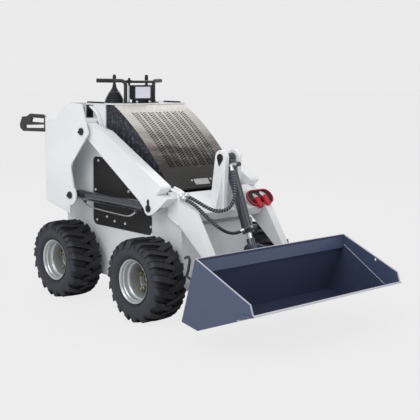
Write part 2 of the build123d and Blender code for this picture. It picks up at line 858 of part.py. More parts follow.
# Couplers: two quick couplers that leave a tray on the left leg's top, capped over its front edge
tray_x = 556.0
tray_y = 246.0
tray_length = 190.0
tray_width = 104.0
tray_height = 12.0
tray_rim = 12.0
tray_clearance = 2.0
tray_lift = max(0.0, member_top(tray_x) + tray_clearance - leg_top(tray_x))
coupler_places = (216.0, 276.0)
coupler_rear = 512.0
coupler_front = 614.0
coupler_height = leg_top(tray_x) + tray_lift + 36
coupler_radius = 14.0
cap_length = 38.0
tray_plane = Plane(
    origin=(axle_mid_x + tray_x, tray_y, leg_top(tray_x) + tray_lift), x_dir=(0, 1, 0), z_dir=(leg_slope, 0, 1)
)
with BuildPart() as couplers:
    with BuildSketch(tray_plane):
        SlotOverall(tray_length, tray_width)
    extrude(amount=tray_height)
    with BuildSketch(tray_plane.offset(tray_height / 3)):
        SlotOverall(tray_length - 2 * tray_rim, tray_width - 2 * tray_rim)
    extrude(amount=tray_height, mode=Mode.SUBTRACT)
    with BuildSketch(side_plane(leg_inner)):
        Polygon(
            *[(x, member_top(x)) for x in (tray_x - 40, tray_x + 36)],
            *[(x, leg_top(x) + tray_lift + 1) for x in (tray_x + 36, tray_x - 40)],
            align=None,
        )
    extrude(amount=leg_inner - tray_y + tray_length / 3)
    for y in coupler_places:
        with BuildSketch(cross_plane(coupler_rear)):
            with Locations((y, coupler_height)):
                Circle(coupler_radius)
        extrude(amount=coupler_front - coupler_rear)
save(couplers.part, "couplers")
with BuildPart() as coupler_caps:
    for y in coupler_places:
        with BuildSketch(cross_plane(coupler_front)):
            with Locations((y, coupler_height)):
                Circle(coupler_radius + 4)
        extrude(amount=cap_length)
save(coupler_caps.part, "coupler_caps")

# Hydraulic pipes on the right arm and the two free hoses to the bucket cylinder
pipe_radius = 8.0
hose_radius = 10.0
pipe_routes = [
    [(432, -288, 716), (478, -288, 706), (545, -284, 673)],
    [(432, -265, 722), (480, -264, 710), (541, -262, 686)],
]
elbow_y = -50.0
hose_routes = {
    "hose_upper": [
        (545, -262, 684), (590, -240, 662), (632, -204, 628), (669, -162, 608), (702, -118, 620),
        (718, -90, 664), (712, -74, 720), (692, -64, 772),
    ],
    "hose_lower": [
        (550, -283.7, 670.5), (598, -262, 646), (638, -225, 590), (675, -178, 534), (710, -130, 496),
        (742, -88, 492),
    ],
}
hose_ports = {"hose_upper": upper_port, "hose_lower": lower_port}
ferrule_length = 26.0


def placed(points):
    return [Vector(axle_mid_x + x, y, z) for x, y, z in points]


def bend_radii(points):
    """Return the radius at each inner point: 0.45 of the shorter run over the tangent of half the turn."""
    radii = []
    for before, here, after in zip(points, points[1:], points[2:]):
        turn = (here - before).get_angle(after - here)
        shorter = min((here - before).length, (after - here).length)
        radii.append(0.45 * shorter / tan(radians(turn / 2)))
    return radii


with BuildPart() as arm_pipes:
    for route in pipe_routes:
        with BuildLine() as pipe_path:
            FilletPolyline(*placed(route), radius=24)
        with BuildSketch(Plane(origin=pipe_path.line @ 0, z_dir=pipe_path.line % 0)):
            Circle(pipe_radius)
        sweep()
    with BuildSketch(side_plane(-leg_inner - 2)):
        Polygon((486, 669), (510, 657.7), (510, 700), (486, 708), align=None)
    extrude(amount=42)
save(arm_pipes.part, "arm_pipes")


def elbow_corner(name):
    port = hose_ports[name]
    return Vector(axle_mid_x + port[0], elbow_y, port[1])


def hose_points(name):
    """Return a hose's points: its route, and the end that its ferrule holds short of the elbow's corner."""
    points = placed(hose_routes[name])
    back = (points[-1] - elbow_corner(name)).normalized()
    return points + [elbow_corner(name) + back * ferrule_length]


# Elbows between the hoses and the port blocks: a ferrule on each hose and a stub towards the block
ferrule_radius = hose_radius + 2
stub_radius = ferrule_radius + 1.5
with BuildPart() as hose_elbows:
    for name in hose_ports:
        hose_end = hose_points(name)[-1]
        corner = elbow_corner(name)
        with BuildSketch(Plane(origin=hose_end, z_dir=corner - hose_end)):
            Circle(ferrule_radius)
        extrude(amount=ferrule_length)
        with BuildSketch(Plane(origin=(corner.X, corner.Y - stub_radius, corner.Z), z_dir=(0, 1, 0))):
            Circle(stub_radius)
        extrude(amount=stub_radius - elbow_y - port_half_width - seat)
save(hose_elbows.part, "hose_elbows")

for name in hose_routes:
    points = hose_points(name)
    radii = bend_radii(points)
    print(name, "bend radii", [round(r) for r in radii])
    with BuildPart() as hose:
        with BuildLine() as hose_path:
            FilletPolyline(*points, radius=radii)
        with BuildSketch(Plane(origin=hose_path.line @ 0, z_dir=hose_path.line % 0)):
            Circle(hose_radius)
        sweep()
    print(name, "volume", round(hose.part.volume), "of", round(pi * hose_radius**2 * hose_path.wire().length))
    print(name, "length", round(hose_path.wire().length))
    save(hose.part, name)
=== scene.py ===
import json
import math

import bmesh
import bpy
from bpy.props import FloatProperty, FloatVectorProperty, IntProperty, PointerProperty
from mathutils import Matrix, Vector


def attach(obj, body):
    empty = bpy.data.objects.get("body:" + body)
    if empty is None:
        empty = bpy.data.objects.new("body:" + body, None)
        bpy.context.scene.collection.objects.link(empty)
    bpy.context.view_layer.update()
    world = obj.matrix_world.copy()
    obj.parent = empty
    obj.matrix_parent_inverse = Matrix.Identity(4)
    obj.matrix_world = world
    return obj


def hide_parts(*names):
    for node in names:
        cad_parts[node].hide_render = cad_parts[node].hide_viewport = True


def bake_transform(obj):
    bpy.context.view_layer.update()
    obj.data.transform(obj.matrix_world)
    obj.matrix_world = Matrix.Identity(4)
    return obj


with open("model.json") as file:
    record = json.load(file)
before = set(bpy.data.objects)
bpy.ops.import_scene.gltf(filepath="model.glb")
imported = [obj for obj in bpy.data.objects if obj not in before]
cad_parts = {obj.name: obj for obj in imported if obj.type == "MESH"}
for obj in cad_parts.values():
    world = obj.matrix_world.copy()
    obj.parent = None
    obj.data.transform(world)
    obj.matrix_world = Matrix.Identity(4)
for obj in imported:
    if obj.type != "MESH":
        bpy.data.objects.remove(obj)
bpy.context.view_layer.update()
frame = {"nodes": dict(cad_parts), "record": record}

bl_info = {
    "name": "Mini Loader Looks",
    "version": (1, 0, 0),
    "blender": (4, 5, 0),
    "location": "View3D > Sidebar > Mini Loader",
    "description": "Finishes and fine pieces of a mini loader around its solid frame",
    "category": "Object",
}

nodes = frame["nodes"]
SIDES = {"left": 1, "right": -1}
AXLES = {"front": 383.0, "rear": -383.0}

# Places in millimetres of the side view, whose X starts midway between the axles
AXLE_MIDDLE = -203.016
WHEEL_HEIGHT = 228.5
TRACK_HALF = 420.0
WALL_OUTER = 270.0
TOWER_OUTER = 400.0
ARM_OUTER = 372.0
BOOM_PIVOT = (-250.0, 996.0)
LIFT_BASE = (-376.0, 610.0)
LIFT_EYE = (339.0, 606.0)
LIFT_OUT = 336.0
MAST_PIN = (575.0, 884.0)
BUCKET_EYE = (775.0, 405.0)
BUCKET_PIVOT = (812.0, 235.0)
BUCKET_ROLL = 20.6
DECK_TOP = 1158.0
SIDE_PLATE_INNER = 552.0
SIDE_PLATE_OUTER = 561.0


def at(x, y, z):
    """Place in the frame, in metres, of a side-view point at a distance to the left."""
    return Vector(((x + AXLE_MIDDLE) / 1000, y / 1000, z / 1000))


def bucket_point(along, up):
    """Side-view point from the bucket's pivot, along and above its level floor."""
    c = math.cos(math.radians(BUCKET_ROLL))
    s = math.sin(math.radians(BUCKET_ROLL))
    return (BUCKET_PIVOT[0] + along * c - up * s, BUCKET_PIVOT[1] + along * s + up * c)


def side_view():
    """Local x forward, y up and z to the left, from the point midway between the axles."""
    view = Matrix(((1, 0, 0), (0, 0, 1), (0, 1, 0))).to_4x4()
    view.translation = at(0, 0, 0)
    return view


def member_top(x):
    """Height of the cross-member's sloping top in the side view."""
    return 688 - (x - 425) * 0.5


def facing(place, normal, up=(0, 0, 1)):
    """Local z along a normal, local y upwards along the surface."""
    z = Vector(normal).normalized()
    x = Vector(up).cross(z).normalized()
    view = Matrix((x, z.cross(x), z)).transposed().to_4x4()
    view.translation = place
    return view


# Shader expressions

class Shade:
    """A socket in a tree of nodes that takes part in expressions."""

    def __init__(self, nodes, socket):
        self.nodes = nodes
        self.socket = socket

    def _math(self, operation, *values):
        return self.nodes.node("Math", {"operation": operation}, dict(enumerate(values)))

    def __add__(self, other):
        return self._math("ADD", self, other)

    __radd__ = __add__

    def __sub__(self, other):
        return self._math("SUBTRACT", self, other)

    def __rsub__(self, other):
        return self._math("SUBTRACT", other, self)

    def __mul__(self, other):
        return self._math("MULTIPLY", self, other)

    __rmul__ = __mul__

    def __lt__(self, other):
        return self._math("LESS_THAN", self, other)

    def fract(self):
        return self._math("FRACT", self)

    def least(self, other):
        return self._math("MINIMUM", self, other)

    def most(self, other):
        return self._math("MAXIMUM", self, other)


class Nodes:
    """A tree of shader nodes, in a material or a world."""

    def __init__(self, owner):
        owner.use_nodes = True
        self.tree = owner.node_tree

    def node(self, kind, settings=None, inputs=None, output=0):
        """Add a node: its settings first, then values or links for its sockets. Returns one output."""
        made = self.tree.nodes.new("ShaderNode" + kind)
        for key, value in (settings or {}).items():
            if key == "stops":
                ramp = made.color_ramp
                ramp.elements[0].position, ramp.elements[0].color = value[0]
                ramp.elements[1].position, ramp.elements[1].color = value[-1]
                for position, colour in value[1:-1]:
                    ramp.elements.new(position).color = colour
            else:
                setattr(made, key, value)
        for key, value in (inputs or {}).items():
            if isinstance(value, Shade):
                self.tree.links.new(value.socket, made.inputs[key])
            else:
                made.inputs[key].default_value = value
        return Shade(self, made.outputs[output])

    def show(self, shade):
        """Make a shader the surface that the tree gives out."""
        output = next(node for node in self.tree.nodes if node.type in ("OUTPUT_MATERIAL", "OUTPUT_WORLD"))
        self.tree.links.new(shade.socket, output.inputs["Surface"])


class Finish(Nodes):
    """A procedural material whose surface is one Principled shader."""

    def __init__(self, name, **constants):
        self.material = bpy.data.materials.new(name)
        super().__init__(self.material)
        self.surface = self.tree.nodes["Principled BSDF"]
        for key, value in constants.items():
            socket = key.replace("_", " ").title().replace("Ior", "IOR")
            self.surface.inputs[socket].default_value = value

    def place(self, scale=(1, 1, 1)):
        """Object coordinates after a scale."""
        where = self.node("TexCoord", output="Object")
        return self.node("Mapping", None, {"Vector": where, "Scale": scale})

    def along(self, axis, scale=(1, 1, 1)):
        """One Object coordinate, 0 for X, 1 for Y and 2 for Z, after a scale."""
        return self.node("SeparateXYZ", None, {0: self.place(scale)}, output=axis)

    def noise(self, scale, detail=2.0, roughness=0.5, stretch=(1, 1, 1)):
        return self.node("TexNoise", None, {
            "Vector": self.place(stretch), "Scale": scale, "Detail": detail, "Roughness": roughness,
        })

    def mix(self, factor, low, high):
        """Mix two colours by a factor."""
        return self.node("Mix", {"data_type": "RGBA"}, {0: factor, 6: low, 7: high}, output=2)

    def ramp(self, value, low, high, first=0.0, last=1.0):
        """Map a value from the range low to high onto first to last, held at both ends."""
        return self.node("MapRange", None, {0: value, 1: low, 2: high, 3: first, 4: last})

    def bump(self, height, distance, strength=1.0, edge=0.0):
        """Bump a height in metres, over edges rounded by the given radius."""
        inputs = {"Height": height, "Distance": distance, "Strength": strength}
        if edge:
            inputs["Normal"] = self.node("Bevel", {"samples": 4}, {"Radius": edge})
        self.feed("Normal", self.node("Bump", None, inputs))

    def feed(self, socket, value):
        """Link a shade to a socket of the surface, or set its value."""
        if isinstance(value, Shade):
            self.tree.links.new(value.socket, self.surface.inputs[socket])
        else:
            self.surface.inputs[socket].default_value = value


def tint(colour, amount):
    """A colour made lighter or darker by a share."""
    return tuple(max(0.0, min(1.0, part * (1 + amount))) for part in colour[:3]) + (1.0,)


def painted(name, colour, roughness, coat, dust=0.0, edge=0.0012):
    """Sprayed paint: slow colour drift, fine orange peel and a little dust."""
    finish = Finish(name, coat_roughness=0.12)
    drift = finish.noise(3.0, 3.0)
    haze = finish.noise(40.0, 4.0, 0.6)
    colour_drift = finish.mix(finish.ramp(drift, 0.35, 0.65), tint(colour, -0.035), tint(colour, 0.03))
    dusty = finish.mix(finish.ramp(haze, 0.55, 0.8, 0.0, dust), colour_drift, (0.42, 0.41, 0.40, 1.0))
    finish.feed("Base Color", dusty)
    finish.feed("Roughness", finish.ramp(haze, 0.3, 0.75, roughness - 0.05, roughness + 0.09))
    finish.feed("Coat Weight", coat)
    finish.bump(finish.noise(900.0, 1.0), 0.0002, 0.35, edge=edge)
    return finish.material


def metal(name, colour, roughness):
    """Bare or plated metal with a fine grain and slow changes of shade."""
    finish = Finish(name, metallic=1.0)
    grain = finish.noise(260.0, 3.0, 0.6)
    drift = finish.ramp(finish.noise(9.0, 3.0), 0.3, 0.7)
    finish.feed("Base Color", finish.mix(drift, tint(colour, -0.12), tint(colour, 0.12)))
    finish.feed("Roughness", finish.ramp(grain, 0.25, 0.75, roughness - 0.06, roughness + 0.1))
    finish.bump(grain, 0.0001, 0.3, edge=0.0008)
    return finish.material


def rubber(name, colour, roughness, scale=380.0, dust=0.25):
    """Moulded rubber with a fine grain and dust in its pores."""
    finish = Finish(name, specular_ior_level=0.35)
    grain = finish.noise(scale, 3.0, 0.6)
    patches = finish.noise(11.0, 4.0, 0.6)
    dusted = finish.ramp(patches, 0.4, 0.72, 0.0, dust)
    finish.feed("Base Color", finish.mix(dusted, tint(colour, 0), (0.10, 0.10, 0.105, 1.0)))
    finish.feed("Roughness", finish.ramp(patches, 0.3, 0.7, roughness - 0.08, roughness + 0.1))
    finish.bump(grain, 0.0004, 0.5, edge=0.0015)
    return finish.material


def from_middle(finish, axis, middle):
    """Distance of one Object coordinate from a middle that lies at both signs, in metres."""
    out = finish.along(axis)
    far = out.most(0 - out) - middle
    return far.most(0 - far)


def tyre_rubber():
    """Nearly black tread and paler sidewalls."""
    finish = Finish("tyre_rubber", specular_ior_level=0.35)
    grain = finish.noise(380.0, 3.0, 0.6)
    patches = finish.noise(11.0, 4.0, 0.6)
    wall = finish.ramp(from_middle(finish, 1, TRACK_HALF / 1000), 0.088, 0.104)
    clean = finish.mix(wall, (0.016, 0.016, 0.021, 1.0), (0.031, 0.034, 0.044, 1.0))
    dust = finish.ramp(patches, 0.4, 0.75, 0.0, 0.22)
    finish.feed("Base Color", finish.mix(dust, clean, (0.07, 0.07, 0.08, 1.0)))
    finish.feed("Roughness", finish.ramp(patches, 0.3, 0.7, 0.5, 0.68))
    finish.bump(grain, 0.0004, 0.5, edge=0.0015)
    return finish.material


def rim_silver():
    """Silver paint, with painted shade that darkens it towards the disc."""
    finish = Finish("silver_rim_painted_shade", metallic=0.55, coat_roughness=0.15, coat_weight=0.3)
    haze = finish.noise(60.0, 3.0)
    # Painted shade: the colour darkens towards the disc, deep in the rim, where shade falls.
    out = finish.along(1)
    depth = finish.ramp(out.most(0 - out), (TRACK_HALF - 22) / 1000, (TRACK_HALF + 46) / 1000)
    finish.feed("Base Color", finish.mix(depth, (0.24, 0.245, 0.25, 1.0), (0.50, 0.53, 0.545, 1.0)))
    finish.feed("Roughness", finish.ramp(haze, 0.3, 0.7, 0.27, 0.38))
    finish.bump(finish.noise(900.0, 1.0), 0.0001, 0.3, edge=0.001)
    return finish.material


def hood_steel():
    """Stainless sheet brushed across, with painted reflection and shade from its pale top down to a nearly
    black foot.
    """
    finish = Finish("hood_steel_painted_reflection", metallic=0.5)
    brushed = finish.noise(60.0, 4.0, 0.65, (8, 0.6, 8))
    # Painted reflection and shade: pale at the top, darker by height down to a nearly black foot, with
    # clouds that shift the height.
    reflection_clouds = finish.noise(9.0, 5.0, 0.65, (1.6, 0.4, 1.6))
    height = finish.along(2) + finish.ramp(reflection_clouds, 0.25, 0.75, -0.07, 0.07)
    shade = finish.node("ValToRGB", {"stops": [
        (0.0, (0.025, 0.025, 0.025, 1.0)),
        (0.26, (0.032, 0.031, 0.030, 1.0)),
        (0.38, (0.10, 0.09, 0.085, 1.0)),
        (0.50, (0.30, 0.27, 0.25, 1.0)),
        (0.78, (0.56, 0.54, 0.50, 1.0)),
        (1.0, (0.62, 0.59, 0.55, 1.0)),
    ]}, {0: finish.ramp(height, 0.72, 1.14)})
    streaks = finish.ramp(brushed, 0.35, 0.75, 0.0, 0.30)
    finish.feed("Base Color", finish.mix(streaks, shade, (0.16, 0.15, 0.14, 1.0)))
    finish.feed("Roughness", finish.ramp(brushed, 0.25, 0.75, 0.28, 0.46))
    finish.bump(brushed, 0.0001, 0.25)
    return finish.material


def meshed(name, bar, hole, pitch, share, speckle):
    """Punched black sheet: square holes in rows on both side axes, painted near black as the shade seen
    through them, and paler spots on its bars.
    """
    finish = Finish(name, specular_ior_level=0.3)
    across = finish.along(0, (1 / pitch, 1, 1)).fract() < share
    up = finish.along(2, (1, 1, 1 / pitch)).fract() < share
    holes = across.least(up)
    patches = finish.noise(46.0, 3.0, 0.7)
    pale_spots = finish.ramp(patches, 0.5, 0.62, 0.0, speckle)
    bars = finish.mix(pale_spots, tint(bar, 0), (0.16, 0.17, 0.24, 1.0))
    # Painted shade: the holes are painted near black, for the shade behind them.
    finish.feed("Base Color", finish.mix(holes, bars, tint(hole, 0)))
    finish.feed("Roughness", finish.ramp(patches, 0.3, 0.7, 0.45, 0.65))
    finish.bump(1 - holes, 0.002, 0.6)
    return finish.material


# Modelling helpers

FINISHES = {}


def local(view, x, y, up=0.0):
    """Frame place of a point on a view's axes, in millimetres."""
    return view @ Vector((x / 1000, y / 1000, up / 1000))


def box(left, low, right, high):
    """A square-cornered outline."""
    return [(left, low), (right, low), (right, high), (left, high)]


def collar(bore, radius, length, chamfer=1.0):
    """Closed profile of a ring about a bore, with its outer rims chamfered."""
    return [
        (bore, 0), (radius - chamfer, 0), (radius, chamfer), (radius, length - chamfer),
        (radius - chamfer, length), (bore, length),
    ]


class Form:
    """A mesh under construction. Its outlines and profiles are in millimetres."""

    def __init__(self):
        self.bm = bmesh.new()

    def prism(self, outline, view, bottom, top, bevel=0.0, segments=2):
        """A plate with an outline in the view's local x and y, between two heights on its local z."""
        corners = [self.bm.verts.new(local(view, x, y, bottom)) for x, y in outline]
        face = self.bm.faces.new(corners)
        grown = bmesh.ops.extrude_face_region(self.bm, geom=[face])["geom"]
        raised = [item for item in grown if isinstance(item, bmesh.types.BMVert)]
        rise = view.to_3x3() @ Vector((0, 0, (top - bottom) / 1000))
        bmesh.ops.translate(self.bm, vec=rise, verts=raised)
        ends = [face] + [item for item in grown if isinstance(item, bmesh.types.BMFace)]
        shell = set(ends)
        for corner in raised:
            shell.update(corner.link_faces)
        bmesh.ops.recalc_face_normals(self.bm, faces=list(shell))
        if bevel:
            rims = {edge for end in ends for edge in end.edges}
            self.round_off(rims, bevel, segments)

    def round_off(self, edges, radius, segments=2):
        bmesh.ops.bevel(
            self.bm, geom=list(edges), offset=radius / 1000, offset_type="OFFSET", segments=segments,
            profile=0.5, affect="EDGES", material=-1, clamp_overlap=True,
        )

    def side_plate(self, outline, inner, outer, bevel=0.0):
        """A plate with a side-view outline between two distances to the left."""
        self.prism(outline, side_view(), inner, outer, bevel)

    def lathe(self, profile, view, segments=32, closed=False):
        """A turned shape: radius and height pairs about the view's local z."""
        points = [self.bm.verts.new(local(view, radius, 0, up)) for radius, up in profile]
        pairs = list(zip(points, points[1:])) + ([(points[-1], points[0])] if closed else [])
        edges = [self.bm.edges.new(pair) for pair in pairs]
        spun = bmesh.ops.spin(
            self.bm, geom=points + edges, cent=view.translation, axis=view.to_3x3() @ Vector((0, 0, 1)),
            angle=2 * math.pi, steps=segments, use_merge=True,
        )
        turned = {vert for item in spun["geom_last"] for vert in getattr(item, "verts", [item])}
        reach = set(points) | turned
        grown = True
        while grown:
            near = {other for vert in reach for edge in vert.link_edges for other in edge.verts}
            grown = not near <= reach
            reach |= near
        bmesh.ops.remove_doubles(self.bm, verts=list(reach), dist=1e-5)

    def rod(self, start, end, radius, segments=16, chamfer=1.0):
        """A round bar between two frame places."""
        run = end - start
        up = (0, 0, 1) if abs(run.normalized().z) < 0.9 else (1, 0, 0)
        length = run.length * 1000
        profile = [(0, 0), (radius - chamfer, 0), (radius, chamfer), (radius, length - chamfer)]
        profile += [(radius - chamfer, length), (0, length)]
        self.lathe(profile, facing(start, run, up), segments)

    def bolt(self, place, normal, radius=9.0, height=6.0, washer=12.0, sides=6):
        """A bolt's head on its washer."""
        up = (0, 0, 1) if abs(Vector(normal).normalized().z) < 0.9 else (1, 0, 0)
        view = facing(place, normal, up)
        self.lathe([(0, 0), (washer, 0), (washer, 1.6), (washer - 1, 2.2), (0, 2.2)], view, 16)
        top = height + 2.2
        self.lathe([(0, 2), (radius, 2), (radius, top - 1), (radius - 1.4, top), (0, top)], view, sides)

    def tube(self, points, radius, sides=12):
        """A bent pipe along a smooth line, with frame places as its control points."""
        mesh = line_mesh(points, radius, sides)
        self.bm.from_mesh(mesh)
        bpy.data.meshes.remove(mesh)

    def make(self, name, finish, body, replaces=(), sharp=38.0):
        """Finish the mesh as an object that rides on a body, with edges over the sharp angle left hard."""
        bmesh.ops.recalc_face_normals(self.bm, faces=self.bm.faces)
        limit = math.radians(sharp)
        for face in self.bm.faces:
            face.smooth = True
        for edge in self.bm.edges:
            if len(edge.link_faces) == 2 and edge.calc_face_angle(0) > limit:
                edge.smooth = False
        return piece_from(name, self.bm, finish, body, replaces)


def piece_from(name, bm, finish, body, replaces=()):
    """Make a finished object from a bmesh. With a body, it rides there."""
    mesh = bpy.data.meshes.new(name)
    bm.to_mesh(mesh)
    bm.free()
    mesh.materials.append(FINISHES[finish])
    piece = bpy.data.objects.new(name, mesh)
    bpy.context.scene.collection.objects.link(piece)
    if body:
        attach(piece, body)
    if replaces:
        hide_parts(*replaces)
    return piece


def line_curve(points):
    """A smooth NURBS line with the points as its control points."""
    curve = bpy.data.curves.new("line", "CURVE")
    curve.dimensions = "3D"
    spline = curve.splines.new("NURBS")
    spline.points.add(len(points) - 1)
    for target, point in zip(spline.points, points):
        target.co = (*point, 1.0)
    spline.order_u = 3
    spline.use_endpoint_u = True
    return curve


def line_mesh(points, radius=0.0, sides=12, steps=6):
    """The mesh of a NURBS line, with a tube about it where a radius in millimetres is given."""
    curve = line_curve(points)
    curve.splines[0].resolution_u = steps
    if radius:
        curve.bevel_depth = radius / 1000
        curve.bevel_resolution = max(0, sides // 4 - 1)
        curve.use_fill_caps = True
    holder = bpy.data.objects.new("line", curve)
    mesh = bpy.data.meshes.new_from_object(holder)
    bpy.data.objects.remove(holder)
    bpy.data.curves.remove(curve)
    return mesh


def settings():
    """The add-on's sizes in the open scene."""
    return bpy.context.scene.mini_loader


class LoaderSizes(bpy.types.PropertyGroup):
    """Sizes and colours that a user may change."""

    body_colour: FloatVectorProperty(
        name="Body colour", description="Colour of the body's and the boom's paint", subtype="COLOR",
        size=3, min=0, max=1, default=(0.79, 0.81, 0.83),
    )
    bucket_colour: FloatVectorProperty(
        name="Bucket colour", description="Colour of the bucket's paint", subtype="COLOR",
        size=3, min=0, max=1, default=(0.052, 0.072, 0.138),
    )
    lugs: IntProperty(
        name="Lugs", description="Lugs in each of a tyre's two rows", min=8, max=30, default=18,
    )
    lug_width: FloatProperty(
        name="Lug width", description="Width of a lug's top", unit="LENGTH",
        min=0.01, max=0.06, default=0.029,
    )
    hole_rows: IntProperty(
        name="Hole rows", description="Double rows of holes down the hood", min=4, max=17, default=15,
    )
    wrap_pitch: FloatProperty(
        name="Wrap pitch", description="Pitch of the spiral guard on the hoses", unit="LENGTH",
        min=0.005, max=0.05, default=0.0145,
    )
    camera_azimuth: FloatProperty(
        name="Camera azimuth", description="Turn of the camera about the vertical", subtype="ANGLE",
        default=math.radians(47.983),
    )


class LOADER_OT_stage(bpy.types.Operator):
    """Make the camera, the floor and the lights"""

    bl_idname = "loader.stage"
    bl_label = "Stage"

    # The camera, fitted to the photograph
    image_width = 420
    focal_pixels = 918.15
    axis_pixel = 203.1
    camera_place = (4.0097, -3.4602, 1.3301)
    pitch = math.radians(8.379)
    roll = math.radians(0.484)
    # Name, place, place lit, width and power of each light
    lights = (
        ("key_light", (1.5, -4.5, 5.0), (0.0, 0.0, 0.5), 5.0, 210),
        ("front_light", (6.0, 1.0, 4.0), (0.3, 0.0, 0.5), 4.0, 60),
        ("back_light", (-4.0, 3.0, 4.5), (0.0, 0.0, 0.5), 4.0, 90),
    )
    sky_colour = (0.83, 0.83, 0.83, 1.0)
    sky_strength = 0.75
    floor_size = 60.0
    floor_colour = (0.80, 0.80, 0.80, 1.0)
    floor_glow = (0.846, 0.846, 0.846, 1.0)
    # Share of the floor's look that is glow. The rest takes the object's shadow.
    glow_share = 0.93

    def execute(self, context):
        scene = context.scene
        scene.view_settings.view_transform = "Standard"
        self.make_camera(scene)
        self.make_floor(scene)
        self.make_world(scene)
        for name, place, target, size, power in self.lights:
            lamp = bpy.data.lights.new(name, "AREA")
            lamp.size = size
            lamp.energy = power
            light = bpy.data.objects.new(name, lamp)
            light.location = place
            light.rotation_euler = (Vector(target) - Vector(place)).to_track_quat("-Z", "Y").to_euler()
            scene.collection.objects.link(light)
        return {"FINISHED"}

    def make_camera(self, scene):
        lens = bpy.data.cameras.new("photo_camera")
        lens.sensor_width = 36.0
        lens.lens = self.focal_pixels / self.image_width * lens.sensor_width
        lens.shift_x = (self.image_width / 2 - self.axis_pixel) / self.image_width
        camera = bpy.data.objects.new("photo_camera", lens)
        azimuth = settings().camera_azimuth
        turn = Matrix.Rotation(azimuth, 3, "Z") @ Matrix.Rotation(math.pi / 2 - self.pitch, 3, "X")
        turn = turn @ Matrix.Rotation(self.roll, 3, "Z")
        camera.matrix_world = Matrix.Translation(self.camera_place) @ turn.to_4x4()
        scene.collection.objects.link(camera)
        scene.camera = camera

    def make_floor(self, scene):
        bm = bmesh.new()
        bmesh.ops.create_grid(bm, x_segments=1, y_segments=1, size=self.floor_size)
        mesh = bpy.data.meshes.new("floor")
        bm.to_mesh(mesh)
        bm.free()
        floor = bpy.data.objects.new("floor", mesh)
        scene.collection.objects.link(floor)
        finish = Finish("pale_floor", roughness=0.9)
        finish.feed("Base Color", self.floor_colour)
        glow = finish.node("Emission", None, {"Color": self.floor_glow, "Strength": 1.0})
        lit = Shade(finish, finish.surface.outputs[0])
        seen = finish.node("LightPath", output="Is Camera Ray")
        finish.show(finish.node("MixShader", None, {0: seen * self.glow_share, 1: lit, 2: glow}))
        mesh.materials.append(finish.material)

    def make_world(self, scene):
        world = bpy.data.worlds.new("studio_light")
        sky = Nodes(world)
        light = sky.node("Background", None, {"Color": self.sky_colour, "Strength": self.sky_strength})
        backdrop = sky.node("Background", None, {"Color": self.sky_colour, "Strength": 1.0})
        seen = sky.node("LightPath", output="Is Camera Ray")
        sky.show(sky.node("MixShader", None, {0: seen, 1: light, 2: backdrop}))
        scene.world = world


class LOADER_OT_finishes(bpy.types.Operator):
    """Make every finish and give the solid pieces theirs"""

    bl_idname = "loader.finishes"
    bl_label = "Finishes"

    def execute(self, context):
        body = tuple(settings().body_colour)
        blue = tuple(settings().bucket_colour)
        FINISHES.update({
            "white_paint": painted("body_paint", body, 0.38, 0.25, dust=0.05, edge=0.004),
            "screw_paint": painted("painted_screws", body, 0.3, 0.4),
            "blue_paint": painted("bucket_paint", blue, 0.40, 0.08, dust=0.03),
            # Painted light: a lighter copy of the bucket's paint for the band, whose face turns up to the
            # light.
            "band_painted_light": painted("bucket_band_painted_light", tint(blue, 0.12), 0.42, 0.08, dust=0.03),
            # Painted shade: a darker copy of the bucket's paint for its inside, which lies in shade.
            "shade_lining_paint": painted("bucket_shade_lining_paint", tint(blue, -0.30), 0.5, 0.03, dust=0.03),
            "edge_steel": painted("worn_edge_paint", (0.32, 0.33, 0.42), 0.35, 0.1, dust=0.1),
            # Pale steel for the bucket's lip and for its painted highlights along the edges.
            "lip_steel": painted("lip_and_painted_highlight_steel", (0.46, 0.46, 0.53), 0.35, 0.1, dust=0.1),
            "black_paint": painted("black_satin_paint", (0.018, 0.018, 0.020), 0.42, 0.1),
            "cylinder_paint": painted("black_gloss_paint", (0.017, 0.020, 0.034), 0.20, 0.7),
            "rim_paint": rim_silver(),
            "steel_sheet": hood_steel(),
            "pin_steel": metal("blackened_pin_steel", (0.075, 0.075, 0.08), 0.42),
            "dark_steel": metal("dark_steel", (0.045, 0.046, 0.05), 0.40),
            "zinc": metal("zinc_plate", (0.62, 0.62, 0.64), 0.3),
            "yellow_zinc": metal("yellow_zinc_plate", (0.33, 0.31, 0.19), 0.32),
            "chrome_rod": metal("hard_chrome", (0.80, 0.80, 0.82), 0.1),
            "engine_iron": painted("engine_black", (0.02, 0.02, 0.02), 0.6, 0.0),
            "axle_iron": painted("axle_black", (0.035, 0.036, 0.04), 0.5, 0.05),
            "tyre": tyre_rubber(),
            "boot_rubber": rubber("boot_rubber", (0.022, 0.024, 0.032), 0.38, dust=0.1),
            "hose_rubber": rubber("hose_rubber", (0.012, 0.013, 0.018), 0.36, dust=0.1),
            "pale_hose_gap": rubber("pale_hose_gap", (0.24, 0.26, 0.31), 0.5, dust=0.1),
            "black_plastic": rubber("black_moulded_plastic", (0.014, 0.014, 0.016), 0.4, 900.0, 0.05),
            "red_plastic": rubber("red_cap_plastic", (0.52, 0.010, 0.025), 0.32, 700.0, 0.0),
            "red_rim": rubber("red_rim_rubber", (0.50, 0.03, 0.045), 0.4, 700.0, 0.0),
            "lens": painted("lamp_lens", (0.74, 0.74, 0.84), 0.15, 0.8),
            "hood_mesh": meshed(
                "hood_side_mesh", (0.022, 0.024, 0.034), (0.004, 0.004, 0.005), 0.011, 0.45, 0.55,
            ),
            "window_mesh": meshed(
                "window_mesh", (0.024, 0.023, 0.023), (0.006, 0.006, 0.006), 0.013, 0.5, 0.10,
            ),
        })
        slots = {part["node"]: part["material_slot"] for part in frame["record"]["subparts"]}
        slots.update({
            "hood_sides": "hood_mesh", "side_grilles": "window_mesh", "cutting_edge": "edge_steel",
        })
        for name, node in nodes.items():
            finish = FINISHES[slots[name]]
            if node.material_slots:
                for material_slot in node.material_slots:
                    material_slot.material = finish
            else:
                node.data.materials.append(finish)
        return {"FINISHED"}
